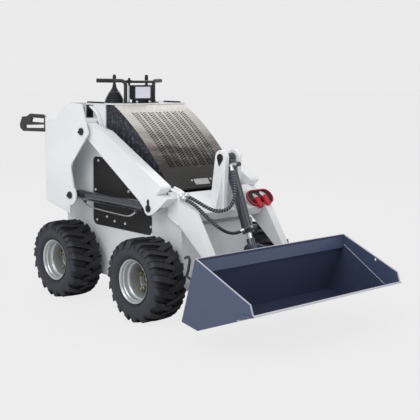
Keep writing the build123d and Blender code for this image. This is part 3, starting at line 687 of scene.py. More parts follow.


# Free hoses: the points of their routes, their guard's share of the length and two further side-view points
HOSES = {
    "hose_upper": {
        "route": [
            (545, -262, 684), (590, -240, 662), (632, -204, 628), (669, -162, 608), (702, -118, 620),
            (718, -90, 664), (712, -74, 720), (692, -64, 772), (661.2, -54.0, 829.4),
        ],
        "length": 0.466, "guard": 1.0, "follow": ((600, -230, 650), (700, -70, 740)),
    },
    "hose_lower": {
        "route": [
            (550, -283.7, 670.5), (598, -262, 646), (638, -225, 590), (675, -178, 534), (710, -130, 496),
            (742, -88, 492), (763.8, -65.9, 510.4),
        ],
        "length": 0.375, "guard": 0.62, "follow": ((598, -262, 646), (742, -88, 492)),
    },
}


class LOADER_OT_hoses(bpy.types.Operator):
    """Sweep the two free hoses, with a spiral guard wound on them"""

    bl_idname = "loader.hoses"
    bl_label = "Hoses"

    # Metres: the guard's outer radius, its gap's depth, and the radius under which a face takes the pale gap
    # colour
    guard_radius = 0.0102
    gap_depth = 0.0026
    bare_radius = 0.0084
    # Half the gap and the length of its flank, as shares of the guard's pitch
    gap_half = 0.20
    gap_flank = 0.07
    # How far the part without a guard lies under it, as a share of the gap's depth
    plain_depth = 0.6
    sides = 20

    def execute(self, context):
        for name, facts in HOSES.items():
            route = [at(*point) for point in facts["route"]]
            line = line_mesh(route, steps=52)
            path = [vert.co.copy() for vert in line.vertices]
            bpy.data.meshes.remove(line)
            piece = self.wind(name + "_guarded", path, facts["guard"])
            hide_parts(name)
            at(*facts["follow"][0])
            at(*facts["follow"][1])
            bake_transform(piece)
        return {"FINISHED"}

    def wind(self, name, path, guard):
        """A tube along the path whose wall rises and falls as a spiral band over a share of its length."""
        last = len(path) - 1
        bm = bmesh.new()
        bmesh.ops.create_grid(bm, x_segments=last, y_segments=self.sides, size=1)
        reach = [0.0]
        for here, there in zip(path, path[1:]):
            reach.append(reach[-1] + (there - here).length)
        guard_end = guard * reach[-1]
        across = Vector((0, 0, 1))
        frames = []
        for index in range(last + 1):
            ahead = (path[min(index + 1, last)] - path[max(index - 1, 0)]).normalized()
            across = (across - ahead * across.dot(ahead)).normalized()
            frames.append((across.copy(), ahead.cross(across)))
        for vert in bm.verts:
            index = round((vert.co.x + 1) / 2 * last)
            turn = (vert.co.y + 1) / 2
            phase = (reach[index] / settings().wrap_pitch + turn) % 1.0
            gap = self.plain_depth
            if reach[index] < guard_end:
                gap = max(0.0, min(1.0, (self.gap_half - abs(phase - 0.5)) / self.gap_flank))
            radius = self.guard_radius - self.gap_depth * gap
            angle = 2 * math.pi * turn
            out = frames[index][0] * math.cos(angle) + frames[index][1] * math.sin(angle)
            vert.co = path[index] + out * radius
        bmesh.ops.remove_doubles(bm, verts=bm.verts, dist=1e-6)
        bmesh.ops.holes_fill(bm, edges=[edge for edge in bm.edges if edge.is_boundary], sides=0)
        bmesh.ops.recalc_face_normals(bm, faces=bm.faces)
        for face in bm.faces:
            middle = face.calc_center_median()
            nearest = min(range(0, last + 1, 2), key=lambda index: (path[index] - middle).length_squared)
            # Faces deep in the guard's gaps take a pale grey colour.
            bare = (path[nearest] - middle).length < self.bare_radius
            face.material_index = 1 if bare and reach[nearest] < guard_end else 0
            face.smooth = len(face.verts) < 5
        piece = piece_from(name, bm, "hose_rubber", None)
        piece.data.materials.append(FINISHES["pale_hose_gap"])
        return piece


def wheel_view(end, side):
    """A wheel's own view: its local z points outwards along the axle."""
    hub = at(AXLES[end], side * TRACK_HALF, WHEEL_HEIGHT)
    return facing(hub, (0, side, 0))


def each_wheel():
    """Axle, side, view and sign of each wheel."""
    for end in AXLES:
        for side_name, side in SIDES.items():
            yield end, side_name, wheel_view(end, side), side


class LOADER_OT_tyres(bpy.types.Operator):
    """Turn the tyres' carcasses and set two rows of bent lugs on each"""

    bl_idname = "loader.tyres"
    bl_label = "Tyres"

    # Radius and distance from the tyre's middle, from the crown to the bead
    wall = [
        (212, 0), (212, 40), (211.5, 66), (209, 84), (203, 96), (194, 103), (181, 106.5), (167, 107.5),
        (154, 106), (145, 102.5), (138, 97.5), (133, 93), (129.5, 92), (128, 89), (122, 88), (112, 88),
    ]
    # The line over a lug's top: distance from the middle and radius
    crest = [
        (-22, 228.3), (20, 228.3), (58, 227.6), (84, 225), (97, 219), (104, 209), (107.2, 196), (107.6, 186),
    ]
    # How far round the tread the lug's line lies ahead of its own place, at two distances from the middle
    lead = [(-22, 24), (108, -24)]
    lug_depth = 26
    lug_pieces = 12
    # Shares by which a lug's foot is wider than its top, and its shoulder end than its middle one
    foot_flare = 0.16
    shoulder_flare = 0.40
    # A lug's underside is cut away inside this radius, within this distance of the tyre's middle
    hidden_radius = 204
    hidden_half = 70

    def execute(self, context):
        for end, side_name, view, side in each_wheel():
            form = Form()
            profile = self.wall + [(radius, -out) for radius, out in reversed(self.wall[1:])]
            form.lathe(profile, view, 72)
            count = settings().lugs
            for row in (1, -1):
                for number in range(count):
                    turn = 2 * math.pi * (number + (0.5 if row < 0 else 0.0)) / count
                    self.add_lug(form, view, row, turn, side)
            wheel = f"{end}_{side_name}"
            form.make(f"tyre_lugged_{wheel}", "tyre", f"wheel_{wheel}", (f"tyre_{wheel}",), sharp=30.0)
        return {"FINISHED"}

    def add_lug(self, form, view, row, turn, side):
        """Bend a bar along the crest's line and round the tyre."""
        lengths = [0.0]
        for here, there in zip(self.crest, self.crest[1:]):
            lengths.append(lengths[-1] + math.dist(here, there))
        bar = bmesh.new()
        bmesh.ops.create_cube(bar, size=1)
        lengthwise = [edge for edge in bar.edges if abs(edge.verts[0].co.y - edge.verts[1].co.y) > 0.5]
        bmesh.ops.subdivide_edges(bar, edges=lengthwise, cuts=self.lug_pieces - 1, use_grid_fill=True)
        top = [
            edge for edge in bar.edges
            if min(edge.verts[0].co.z, edge.verts[1].co.z) > 0.4
            and len({round(face.normal.z) for face in edge.link_faces}) > 1
        ]
        half = settings().lug_width / 2 * 1000
        for vert in bar.verts:
            around, share, raised = vert.co.x * 2, vert.co.y + 0.5, vert.co.z + 0.5
            out, radius, lean = self.on_crest(lengths, share * lengths[-1])
            depth = self.lug_depth * (1 - raised)
            width = half * (1.0 + self.foot_flare * (1 - raised)) * (1.0 + self.shoulder_flare * share)
            offset = self.lead_at(out) + around * width
            height = radius - depth * lean[1]
            away = row * (out - depth * lean[0])
            # On the view's local axes x runs round the tyre: forwards at the top on both sides
            angle = turn + offset / WHEEL_HEIGHT
            vert.co = local(view, -side * height * math.sin(angle), height * math.cos(angle), away)
        bmesh.ops.bevel(
            bar, geom=top, offset=0.0035, offset_type="OFFSET", segments=1, profile=0.5, affect="EDGES",
            material=-1, clamp_overlap=True,
        )
        back = view.inverted()
        hidden = [
            face for face in bar.faces
            if all((back @ vert.co).xy.length * 1000 < self.hidden_radius for vert in face.verts)
            and abs((back @ face.calc_center_median()).z) * 1000 < self.hidden_half
        ]
        bmesh.ops.delete(bar, geom=hidden, context="FACES_ONLY")
        mesh = bpy.data.meshes.new("lug")
        bar.to_mesh(mesh)
        bar.free()
        form.bm.from_mesh(mesh)
        bpy.data.meshes.remove(mesh)

    def on_crest(self, lengths, reach):
        """Distance from the middle, radius and outward direction of the crest at a length along it."""
        for index in range(len(lengths) - 1):
            if reach <= lengths[index + 1] + 1e-6:
                share = (reach - lengths[index]) / (lengths[index + 1] - lengths[index])
                here, there = self.crest[index], self.crest[index + 1]
                run = (there[0] - here[0], there[1] - here[1])
                size = math.hypot(*run)
                return (here[0] + run[0] * share, here[1] + run[1] * share, (-run[1] / size, run[0] / size))
        raise ValueError("reach lies past the crest")

    def lead_at(self, out):
        """The lead at a distance from the middle, which changes evenly up to the shoulder."""
        (begin, first), (end, last) = self.lead
        return first + (last - first) * (min(out, end) - begin) / (end - begin)


class LOADER_OT_rims(bpy.types.Operator):
    """Turn the deep stepped rims and set their hubs and nuts"""

    bl_idname = "loader.rims"
    bl_label = "Rims"

    face = [
        (32.5, -26), (78, -26), (84, -23.5), (87, -18), (90, -4), (92.5, 12), (95.5, 30), (96.5, 42),
        (98.5, 46), (103, 48), (104.5, 50), (104.8, 70), (106, 74), (110, 76.5), (111, 79), (111.5, 86),
        (113, 89), (117, 91), (119, 93.5), (120.6, 94.8), (121.4, 93.6), (121.4, 91), (119, 90), (116, 87),
        (114.5, 78), (108, 72), (107.5, 46), (99, 40), (93, 0), (90, -22), (86, -33), (32.5, -34),
    ]
    back = [
        (99, -40), (101, -88), (104, -92), (120, -94.8), (121.4, -93), (121, -90.5), (106, -88), (104, -40),
    ]
    well = [(90, -33), (99, -40), (104, -40), (107.5, 46), (99, 40), (92, -22)]
    hub_flange = [(32.8, -26), (53, -26), (53, -21), (50, -18), (40, -16), (38, -8), (32.8, -8)]
    hub_nut = [(0, -15.5), (26, -15.5), (26, -10), (0, -10)]
    hub_cap = [(0, -10), (15, -10), (14, 2), (9, 6), (0, 7)]
    nuts = 5
    nut_circle = 70
    first_nut = 20
    # Washer, nut and stud of one wheel nut, with the sides of each
    nut_profiles = (
        ([(0, -26), (16, -26), (15, -21), (0, -21)], 20),
        ([(0, -21.5), (13.5, -21.5), (13.5, -6), (11, -3.5), (0, -3.5)], 6),
        ([(0, -4), (6.5, -4), (6.5, 7), (5, 8.5), (0, 8.5)], 12),
    )

    def execute(self, context):
        for end, side_name, view, _ in each_wheel():
            wheel = f"{end}_{side_name}"
            form = Form()
            for profile in (self.face, self.well, self.back):
                form.lathe(profile, view, 72, closed=True)
            form.make(f"rim_stepped_{wheel}", "rim_paint", f"wheel_{wheel}", (f"rim_{wheel}",), sharp=50.0)
            hub = Form()
            hub.lathe(self.hub_flange, view, 40, closed=True)
            hub.lathe(self.hub_nut, view, 6)
            hub.lathe(self.hub_cap, view, 24)
            for number in range(self.nuts):
                turn = Matrix.Rotation(math.radians(360 / self.nuts * number + self.first_nut), 4, "Z")
                nut = view @ turn @ Matrix.Translation((self.nut_circle / 1000, 0, 0))
                for profile, sides in self.nut_profiles:
                    hub.lathe(profile, nut, sides)
            hub.make(f"wheel_nuts_{wheel}", "yellow_zinc", f"wheel_{wheel}")
        return {"FINISHED"}


def arc_through(first, middle, last):
    """Centre and radius of the circle through three side-view points."""
    (ax, az), (bx, bz), (cx, cz) = first, middle, last
    a, b, c = ax * ax + az * az, bx * bx + bz * bz, cx * cx + cz * cz
    twice = 2 * (ax * (bz - cz) + bx * (cz - az) + cx * (az - bz))
    x = (a * (bz - cz) + b * (cz - az) + c * (az - bz)) / twice
    z = (a * (cx - bx) + b * (ax - cx) + c * (bx - ax)) / twice
    return (x, z), math.dist((x, z), first)


class LOADER_OT_hood(bpy.types.Operator):
    """Punch the hood's sheet, bend it along its arc, put a black sheet of painted shade under it and set its
    blank plate
    """

    bl_idname = "loader.hood"
    bl_label = "Hood"

    arc = ((-110, 1152), (137, 985), (400, 704))
    half_width = 267
    first_column = -197
    group_pitch = 58.8
    groups = 7
    # Lines across a group: holes lie between the first and second, the third and fourth, and so on
    group_lines = (0, 13, 14, 27, 28, 41)
    first_row = 85
    # Heights of the four strips in a row, and for each column of holes the strips that it opens
    row_strips = (9.4, 5.8, 9.4, 5.8)
    opened = {0: (0, 2), 2: (1, 3), 4: (0, 2)}
    # Strips above and below the holes, where the sheet only bends
    plain_above = 6
    plain_below = 8
    sheet_thickness = 2.5
    shade_liner_depths = (14, 16)
    shade_liner_steps = 24
    foot_roll = (397, 703)
    # The blank plate: its middle's share of the sheet's length, its distance to the left and its screws
    plate_share = 0.945
    plate_left = -17
    plate_screws = (-85, 56)

    def execute(self, context):
        self.centre, self.radius = arc_through(*self.arc)
        self.begin, end = (
            math.atan2(z - self.centre[1], x - self.centre[0]) for x, z in (self.arc[0], self.arc[2])
        )
        self.length = (self.begin - end) * self.radius
        self.add_sheet()
        self.add_shade_liner()
        self.add_plate()
        return {"FINISHED"}

    def add_shade_liner(self):
        """A black sheet of painted shade under the holes, and the roll at the hood's foot."""
        # Painted shade: a black sheet under the holes stands for the dark bay behind them.
        shade_liner = Form()
        steps = self.shade_liner_steps
        reaches = [10 + (self.length - 30) * step / steps for step in range(steps + 1)]
        upper, lower = ([self.on_arc(reach, depth) for reach in reaches] for depth in self.shade_liner_depths)
        shade_liner.side_plate(upper + lower[::-1], -252, 252)
        x, z = self.foot_roll
        shade_liner.rod(at(x, -258, z), at(x, 258, z), 7)
        shade_liner.make("hood_shade_liner", "black_plastic", "chassis")

    def add_plate(self):
        """The blank plate at the foot, with a screw at each end."""
        middle = self.plate_share * self.length
        out = self.outward(middle)
        plate = Form()
        plate.prism(box(-53, -19, 53, 19), facing(self.place(middle, self.plate_left), out), 0, 2.2, 0.8)
        for y in self.plate_screws:
            plate.bolt(self.place(middle - 12, y), out, 4.5, 2.5, 7)
        plate.make("blank_plate", "zinc", "chassis")

    def on_arc(self, reach, depth=0.0):
        """Side-view point at a length of arc from the top edge, and a depth under the surface."""
        angle = self.begin - reach / self.radius
        radius = self.radius - depth
        return (self.centre[0] + radius * math.cos(angle), self.centre[1] + radius * math.sin(angle))

    def place(self, reach, y, depth=0.0):
        """Frame place on the sheet, or at a depth under it."""
        x, z = self.on_arc(reach, depth)
        return at(x, y, z)

    def outward(self, reach):
        """Direction that the sheet faces at a length of arc."""
        angle = self.begin - reach / self.radius
        return (math.cos(angle), 0, math.sin(angle))

    def add_sheet(self):
        """A grid whose chosen cells are cut out, given a thickness and bent along the arc."""
        starts = [self.first_column + self.group_pitch * group for group in range(self.groups)]
        across = [-self.half_width] + [start + line for start in starts for line in self.group_lines]
        across.append(self.half_width)
        down = [self.first_row * step / self.plain_above for step in range(self.plain_above)]
        strips = len(self.row_strips) * settings().hole_rows
        for row in range(settings().hole_rows):
            top = self.first_row + row * sum(self.row_strips)
            down += [top + sum(self.row_strips[:strip]) for strip in range(len(self.row_strips))]
        below = down[-1] + self.row_strips[-1]
        rest = (self.length - below) / self.plain_below
        down += [below + rest * step for step in range(self.plain_below + 1)]
        columns, rows = len(across) - 1, len(down) - 1
        form = Form()
        bmesh.ops.create_grid(form.bm, x_segments=columns, y_segments=rows, size=1)
        holes = []
        for face in form.bm.faces:
            middle = face.calc_center_median()
            column = int((middle.x + 1) / 2 * columns) - 1
            row = int((middle.y + 1) / 2 * rows) - self.plain_above
            inside = 0 <= column < columns - 2 and 0 <= row < strips
            open_strips = self.opened.get(column % len(self.group_lines), ())
            if inside and row % len(self.row_strips) in open_strips:
                holes.append(face)
        bmesh.ops.delete(form.bm, geom=holes, context="FACES")
        grown = bmesh.ops.extrude_face_region(form.bm, geom=form.bm.faces[:])["geom"]
        under = {item for item in grown if isinstance(item, bmesh.types.BMVert)}
        for vert in form.bm.verts:
            column = round((vert.co.x + 1) / 2 * columns)
            row = round((vert.co.y + 1) / 2 * rows)
            vert.co = self.place(down[row], across[column], self.sheet_thickness if vert in under else 0.0)
        form.make("hood_punched", "steel_sheet", "chassis", ("hood",))


def teardrop(middle, tip, radius):
    """Side-view outline of a round plate drawn out to a tip."""
    away = math.atan2(tip[1] - middle[1], tip[0] - middle[0])
    angles = [away + math.radians(70 + 20 * step) for step in range(12)]
    return [tip] + [(middle[0] + radius * math.cos(a), middle[1] + radius * math.sin(a)) for a in angles]


class LOADER_OT_body(bpy.types.Operator):
    """Trim the tub and its towers: retainers, screws, pipes, dark patches of painted shade in the towers'
    hollows, strips and the rear louvres
    """

    bl_idname = "loader.body"
    bl_label = "Body trim"

    retainers = ((BOOM_PIVOT, (-283, 990)), (LIFT_BASE, (-411, 603)))
    tower_screws = ((-611, 991), (-620, 674), (-248, 1047), (-380, 662))
    window_screws = (
        (-275, 818), (-292, 458), (-192, 488), (-115, 470), (-13, 468), (226, 479), (20, 660), (-305, 640),
    )
    window_face = 262
    retainer_thickness = 6
    pin_head = [(0, 5), (15, 5), (15, 8), (13, 9.5), (0, 9.5)]
    stay = (-262, 1053)
    tower_pipe = [(-319, 1139), (-252, 1105), (-234, 1070), (-187, 973)]
    shade_patch = box(-384, 1072, -314, 1147)
    # Rear and front ends of the dark strip on each edge of the deck
    deck_strips = {1: (-290, -140), -1: (-383, -225)}
    rear_face = -600

    def execute(self, context):
        dark = Form()
        screws = Form()
        pale = Form()
        for side in SIDES.values():
            out = (0, side, 0)
            face = side * TOWER_OUTER
            cover = face + side * self.retainer_thickness
            for middle, tip in self.retainers:
                dark.side_plate(teardrop(middle, tip, 22), face, cover, 1.0)
                dark.lathe(self.pin_head, facing(at(middle[0], face, middle[1]), out), 24)
                x, z = (middle[0] + tip[0]) / 2 - 4, (middle[1] + tip[1]) / 2
                dark.bolt(at(x, cover, z), out, 5, 3, 6)
            for x, z in self.tower_screws:
                screws.bolt(at(x, face, z), out, 4, 2.5, 6)
            for x, z in self.window_screws:
                screws.bolt(at(x, side * self.window_face, z), out, 6, 4, 8)
            x, z = self.stay
            pale.rod(at(x, side * (WALL_OUTER + 1), z), at(x, side * 389, z), 19, 24)
            for y in (279, 291):
                pale.tube([at(x, side * y, z) for x, z in self.tower_pipe], 5)
            # Painted shade: a dark patch on the wall where the tower's hollow lies in shade.
            dark.side_plate(self.shade_patch, side * WALL_OUTER, side * (WALL_OUTER + 1.5), 0.5)
            rear, front = self.deck_strips[side]
            top = DECK_TOP + 9
            strip = [(rear, DECK_TOP), (front, DECK_TOP), (front - 4, top), (rear + 4, top)]
            dark.side_plate(strip, side * 250, side * 268, 1.5)
        dark.make("tower_retainers_and_shade_patches", "dark_steel", "chassis")
        screws.make("body_screws", "screw_paint", "chassis")
        pale.make("tower_pipes", "white_paint", "chassis")
        self.add_louvres()
        return {"FINISHED"}

    def add_louvres(self):
        """A black louvred grille, three hinges and a latch on the rear panel."""
        rear = self.rear_face
        grille = Form()
        for inner, outer in ((-195, -180), (180, 195)):
            grille.side_plate(box(rear - 8, 570, rear, 890), inner, outer, 1.5)
        for z in (570, 875):
            grille.side_plate(box(rear - 8, z, rear, z + 15), -181, 181, 1.5)
        for z in range(592, 857, 22):
            blade = [(rear, z + 14), (rear - 7, z), (rear - 7, z + 2.5), (rear, z + 17)]
            grille.side_plate(blade, -181, 181)
        for z in (420, 700, 960):
            grille.rod(at(rear - 6, 225, z - 30), at(rear - 6, 225, z + 30), 6)
        grille.side_plate([(rear, 650), (rear - 12, 655), (rear - 12, 705), (rear, 710)], -232, -212, 2)
        grille.make("rear_louvres", "black_plastic", "chassis")
        bolts = Form()
        for y in (-240, 240):
            for z in (270, 520, 1000):
                bolts.bolt(at(rear, y, z), (-1, 0, 0), 6, 4, 9)
        bolts.make("rear_screws", "zinc", "chassis")


class LOADER_OT_controls(bpy.types.Operator):
    """Ribbed boots, levers, grips, the thin rod beside the lamp and the lamp's fittings"""

    bl_idname = "loader.controls"
    bl_label = "Controls"

    boot_foot = (-300, 123)
    rib_radii = (61, 58, 54, 49, 43, 37)
    rib_pitch = 10.5
    neck = [(27, 69), (20, 80), (14, 92), (11, 104), (10.5, 112), (0, 112)]
    knob = [(0, 108), (8, 108), (8, 122), (10.5, 130), (11, 156), (9.5, 165), (5, 169.5), (0, 170)]
    # The grab bar: a post's foot, the tip of its grip, and the height of both its bends
    post = (-210, 107)
    grip_tip = (-311, 244)
    bar_height = 1291
    rod_foot = (-202, -86)
    lamp_front = -165
    lamp_left = -14
    lamp_brackets = (-62, 34)

    def execute(self, context):
        up = facing(at(0, 0, DECK_TOP), (0, 0, 1), (1, 0, 0)).to_3x3().to_4x4()
        boots = Form()
        levers = Form()
        trim = Form()
        zinc = Form()
        profile = [(0, 0), (63, 0), (63, 3)]
        for rib, radius in enumerate(self.rib_radii):
            low = 4 + rib * self.rib_pitch
            profile += [(radius - 6, low), (radius, low + 3.5)]
            profile += [(radius - 1, low + 6.5), (radius - 7, low + 9)]
        for side in SIDES.values():
            foot = Matrix.Translation(at(self.boot_foot[0], side * self.boot_foot[1], DECK_TOP)) @ up
            boots.lathe(profile + self.neck, foot, 40)
            levers.lathe(self.knob, foot, 24)
            x, y = self.post[0], side * self.post[1]
            trim.prism(box(-30, -16, 30, 16), Matrix.Translation(at(x, y, DECK_TOP)) @ up, 0, 5, 1.0)
            for ahead in (-22, 22):
                zinc.bolt(at(x + ahead, y, DECK_TOP + 5), (0, 0, 1), 5, 3.5, 7)
            elbow = at(x, y, self.bar_height)
            tip = at(self.grip_tip[0], side * self.grip_tip[1], self.bar_height)
            trim.rod(elbow.lerp(tip, 0.42), elbow.lerp(tip, 1.02), 12.2, 24, 2.5)
        boots.make("boots_ribbed", "boot_rubber", "chassis", ("lever_boots",))
        levers.make("levers_turned", "black_plastic", "chassis", ("levers",))
        x, y = self.rod_foot
        zinc.rod(at(x, y, DECK_TOP), at(x, y, 1272), 4.5)
        trim.rod(at(x, y, 1262), at(x, y, 1308), 7)
        trim.rod(at(x, y - 16, 1290), at(x, y + 16, 1290), 6.5)
        self.add_lamp_fittings(trim, zinc)
        trim.make("control_trim", "black_plastic", "chassis")
        zinc.make("control_bolts", "zinc", "chassis")
        return {"FINISHED"}

    def add_lamp_fittings(self, trim, zinc):
        """The lamp's frame of four bars, its two brackets and its foot plate."""
        view = facing(at(self.lamp_front, self.lamp_left, DECK_TOP + 64), (1, 0, 0))
        for bar in ((-67, -44, 67, -34), (-67, 34, 67, 44), (-67, -34, -57, 34), (57, -34, 67, 34)):
            trim.prism(box(*bar), view, -2, 5.5, 1.2)
        top = DECK_TOP + 30
        bracket = [(-205, DECK_TOP), (-158, DECK_TOP), (-172, top), (-196, top)]
        for y in self.lamp_brackets:
            trim.side_plate(bracket, y - 5, y + 5, 1)
            zinc.bolt(at(-158, y, DECK_TOP + 9), (1, 0, 0.3), 6, 4, 8)
        foot = Matrix.Translation(at(self.lamp_front - 10, self.lamp_left, DECK_TOP))
        trim.prism(box(-30, -70, 14, 60), foot, 0, 3.5, 1.0)


def pointed(start, end):
    """Unit run from one side-view point to another, as a direction in the frame."""
    return Vector((end[0] - start[0], 0, end[1] - start[1])).normalized()


class LOADER_OT_boom(bpy.types.Operator):
    """Trim the boom: retainers on its pins, pipe nuts and the couplers in their tray"""

    bl_idname = "loader.boom"
    bl_label = "Boom trim"

    # Centre line of a coupler and its hanging cap, in the side view
    coupler_line = ((552, 664), (586, 646), (628, 604))
    tray_middle = (576, 640)
    # How far the tray's face leans forwards for each unit that it faces up
    tray_slope = 1.25
    tray_left = 246
    tray_size = (196, 98)
    rim_width = 5
    rim_heights = (3, 13)
    tray_foot = ((598, 598), (586, 614), (531, 683), (524, 683), (504, 655))
    # Distance to the left of each coupler, and how far it lies under the line
    coupler_places = ((212, 8), (272, 0))
    mast_face = 60
    lift_retainer = ((331, 618), (347, 618), (346, 652), (339, 658), (332, 652))
    mast_retainer_tip = (568, 838)
    # End of each pipe on the right arm, and a place before it
    pipe_ends = (((545, -284, 673), (478, -288, 706)), ((541, -262, 686), (480, -264, 710)))

    def execute(self, context):
        dark = Form()
        for side in SIDES.values():
            out = (0, side, 0)
            face = side * ARM_OUTER
            eye = facing(at(LIFT_EYE[0], face, LIFT_EYE[1]), out)
            dark.lathe([(0, 0), (20, 0), (20, 5), (18, 6.5), (0, 6.5)], eye, 28)
            dark.lathe([(0, 6), (13, 6), (13, 9), (11.5, 10), (0, 10)], eye, 24)
            dark.side_plate(self.lift_retainer, face, face + side * 5, 0.8)
            dark.bolt(at(339, face + side * 5, 644), out, 4.5, 3, 6.5)
            face = side * self.mast_face
            dark.side_plate(teardrop(MAST_PIN, self.mast_retainer_tip, 22), face, face + side * 6, 1.0)
            pin = facing(at(MAST_PIN[0], face, MAST_PIN[1]), out)
            dark.lathe([(0, 5), (14, 5), (14, 9), (12.5, 10), (0, 10)], pin, 24)
            dark.bolt(at(570, face + side * 6, 856), out, 4.5, 3, 6.5)
        dark.make("boom_retainers", "dark_steel", "boom")
        nuts = Form()
        for end, before in self.pipe_ends:
            run = (at(*end) - at(*before)).normalized()
            tail = at(*end) - run * 0.024
            nut = [(8, 0), (13, 0), (14, 1.5), (14, 17), (13, 18.5), (8, 18.5)]
            nuts.lathe(nut, facing(tail, run), 6, closed=True)
            nuts.rod(tail + run * 0.018, tail + run * 0.032, 10.6, 20)
        nuts.make("pipe_nuts", "zinc", "boom")
        self.add_tray()
        self.add_couplers()
        self.add_welds()
        return {"FINISHED"}

    def add_tray(self):
        """The couplers' dark tray with its red rim, on a white foot."""
        across = Vector((0, 1, 0))
        up = Vector((self.tray_slope, 0, 1)).normalized()
        view = Matrix((across, up.cross(across), up)).transposed().to_4x4()
        view.translation = at(self.tray_middle[0], self.tray_left, self.tray_middle[1])
        tray = Form()
        tray.prism(slot(*self.tray_size), view, -1, 4)
        tray.make("coupler_tray_floor", "black_plastic", "boom", ("couplers", "coupler_caps"))
        foot = Form()
        foot.side_plate(self.tray_foot, 166, 326, 3)
        foot.make("coupler_foot", "white_paint", "boom")
        rim = Form()
        outer = slot(*self.tray_size)
        inner = slot(*(size - 2 * self.rim_width for size in self.tray_size))
        low, high = self.rim_heights
        loops = []
        for outline, height in ((outer, low), (outer, high), (inner, high), (inner, low)):
            loops.append([rim.bm.verts.new(local(view, x, y, height)) for x, y in outline])
        for first, second in zip(loops, loops[1:] + loops[:1]):
            for index in range(len(outer)):
                after = (index + 1) % len(outer)
                rim.bm.faces.new((first[index], first[after], second[after], second[index]))
        rim.make("coupler_tray_rim", "red_rim", "boom")

    def add_couplers(self):
        """Two couplers with hanging red caps."""
        silver = Form()
        caps = Form()
        for y, drop in self.coupler_places:
            start, front, tip = (at(x, y, z - drop) for x, z in self.coupler_line)
            length = (front - start).length * 1000
            body = [
                (0, 0), (13, 0), (14, 1), (14, 14), (17, 15), (17, 30), (13.5, 32), (13.5, 40), (18, 42),
                (18, length - 12), (15, length - 10), (15, length), (0, length),
            ]
            silver.lathe(body, facing(start, front - start), 28)
            length = (tip - front).length * 1000
            cap = [
                (0, -4), (17, -4), (19, -2), (19, 6), (17.5, 8),
                (17, length - 3), (14.5, length), (0, length),
            ]
            hanging = facing(front, tip - front)
            caps.lathe(cap, hanging, 28)
            caps.prism([(15, -5), (30, -4), (30, 4), (15, 5)], hanging, 2, 6, 1)
        silver.make("coupler_bodies", "zinc", "boom")
        caps.make("coupler_red_caps", "red_plastic", "boom")

    def add_welds(self):
        """Beads where the mast and the legs meet the cross-member and the arms."""
        beads = Form()
        for side in SIDES.values():
            for x in (504, 602):
                z = member_top(x) + 1
                beads.rod(at(x, side * 34, z), at(x, side * self.mast_face, z), 4, 8)
            # Distance to the left, radius and the two side-view ends of each bead that runs forwards
            for y, radius, first, second in (
                (61, 4, (503, member_top(503) + 1), (603, member_top(603) + 1)),
                (251, 4, (432, 685), (606, 598)),
                (301, 3.5, (508, 528), (421, 569)),
                (301, 3.5, (421, 699), (500, 662)),
            ):
                beads.rod(at(first[0], side * y, first[1]), at(second[0], side * y, second[1]), radius, 8)
        beads.make("boom_welds", "white_paint", "boom")


def slot(length, width, steps=8):
    """Outline of a slot with round ends along its local x."""
    reach = (length - width) / 2
    radius = width / 2
    angles = [math.radians(-90 + 180 * step / steps) for step in range(steps + 1)]
    right = [(reach + radius * math.cos(a), radius * math.sin(a)) for a in angles]
    return right + [(-x, -y) for x, y in right]


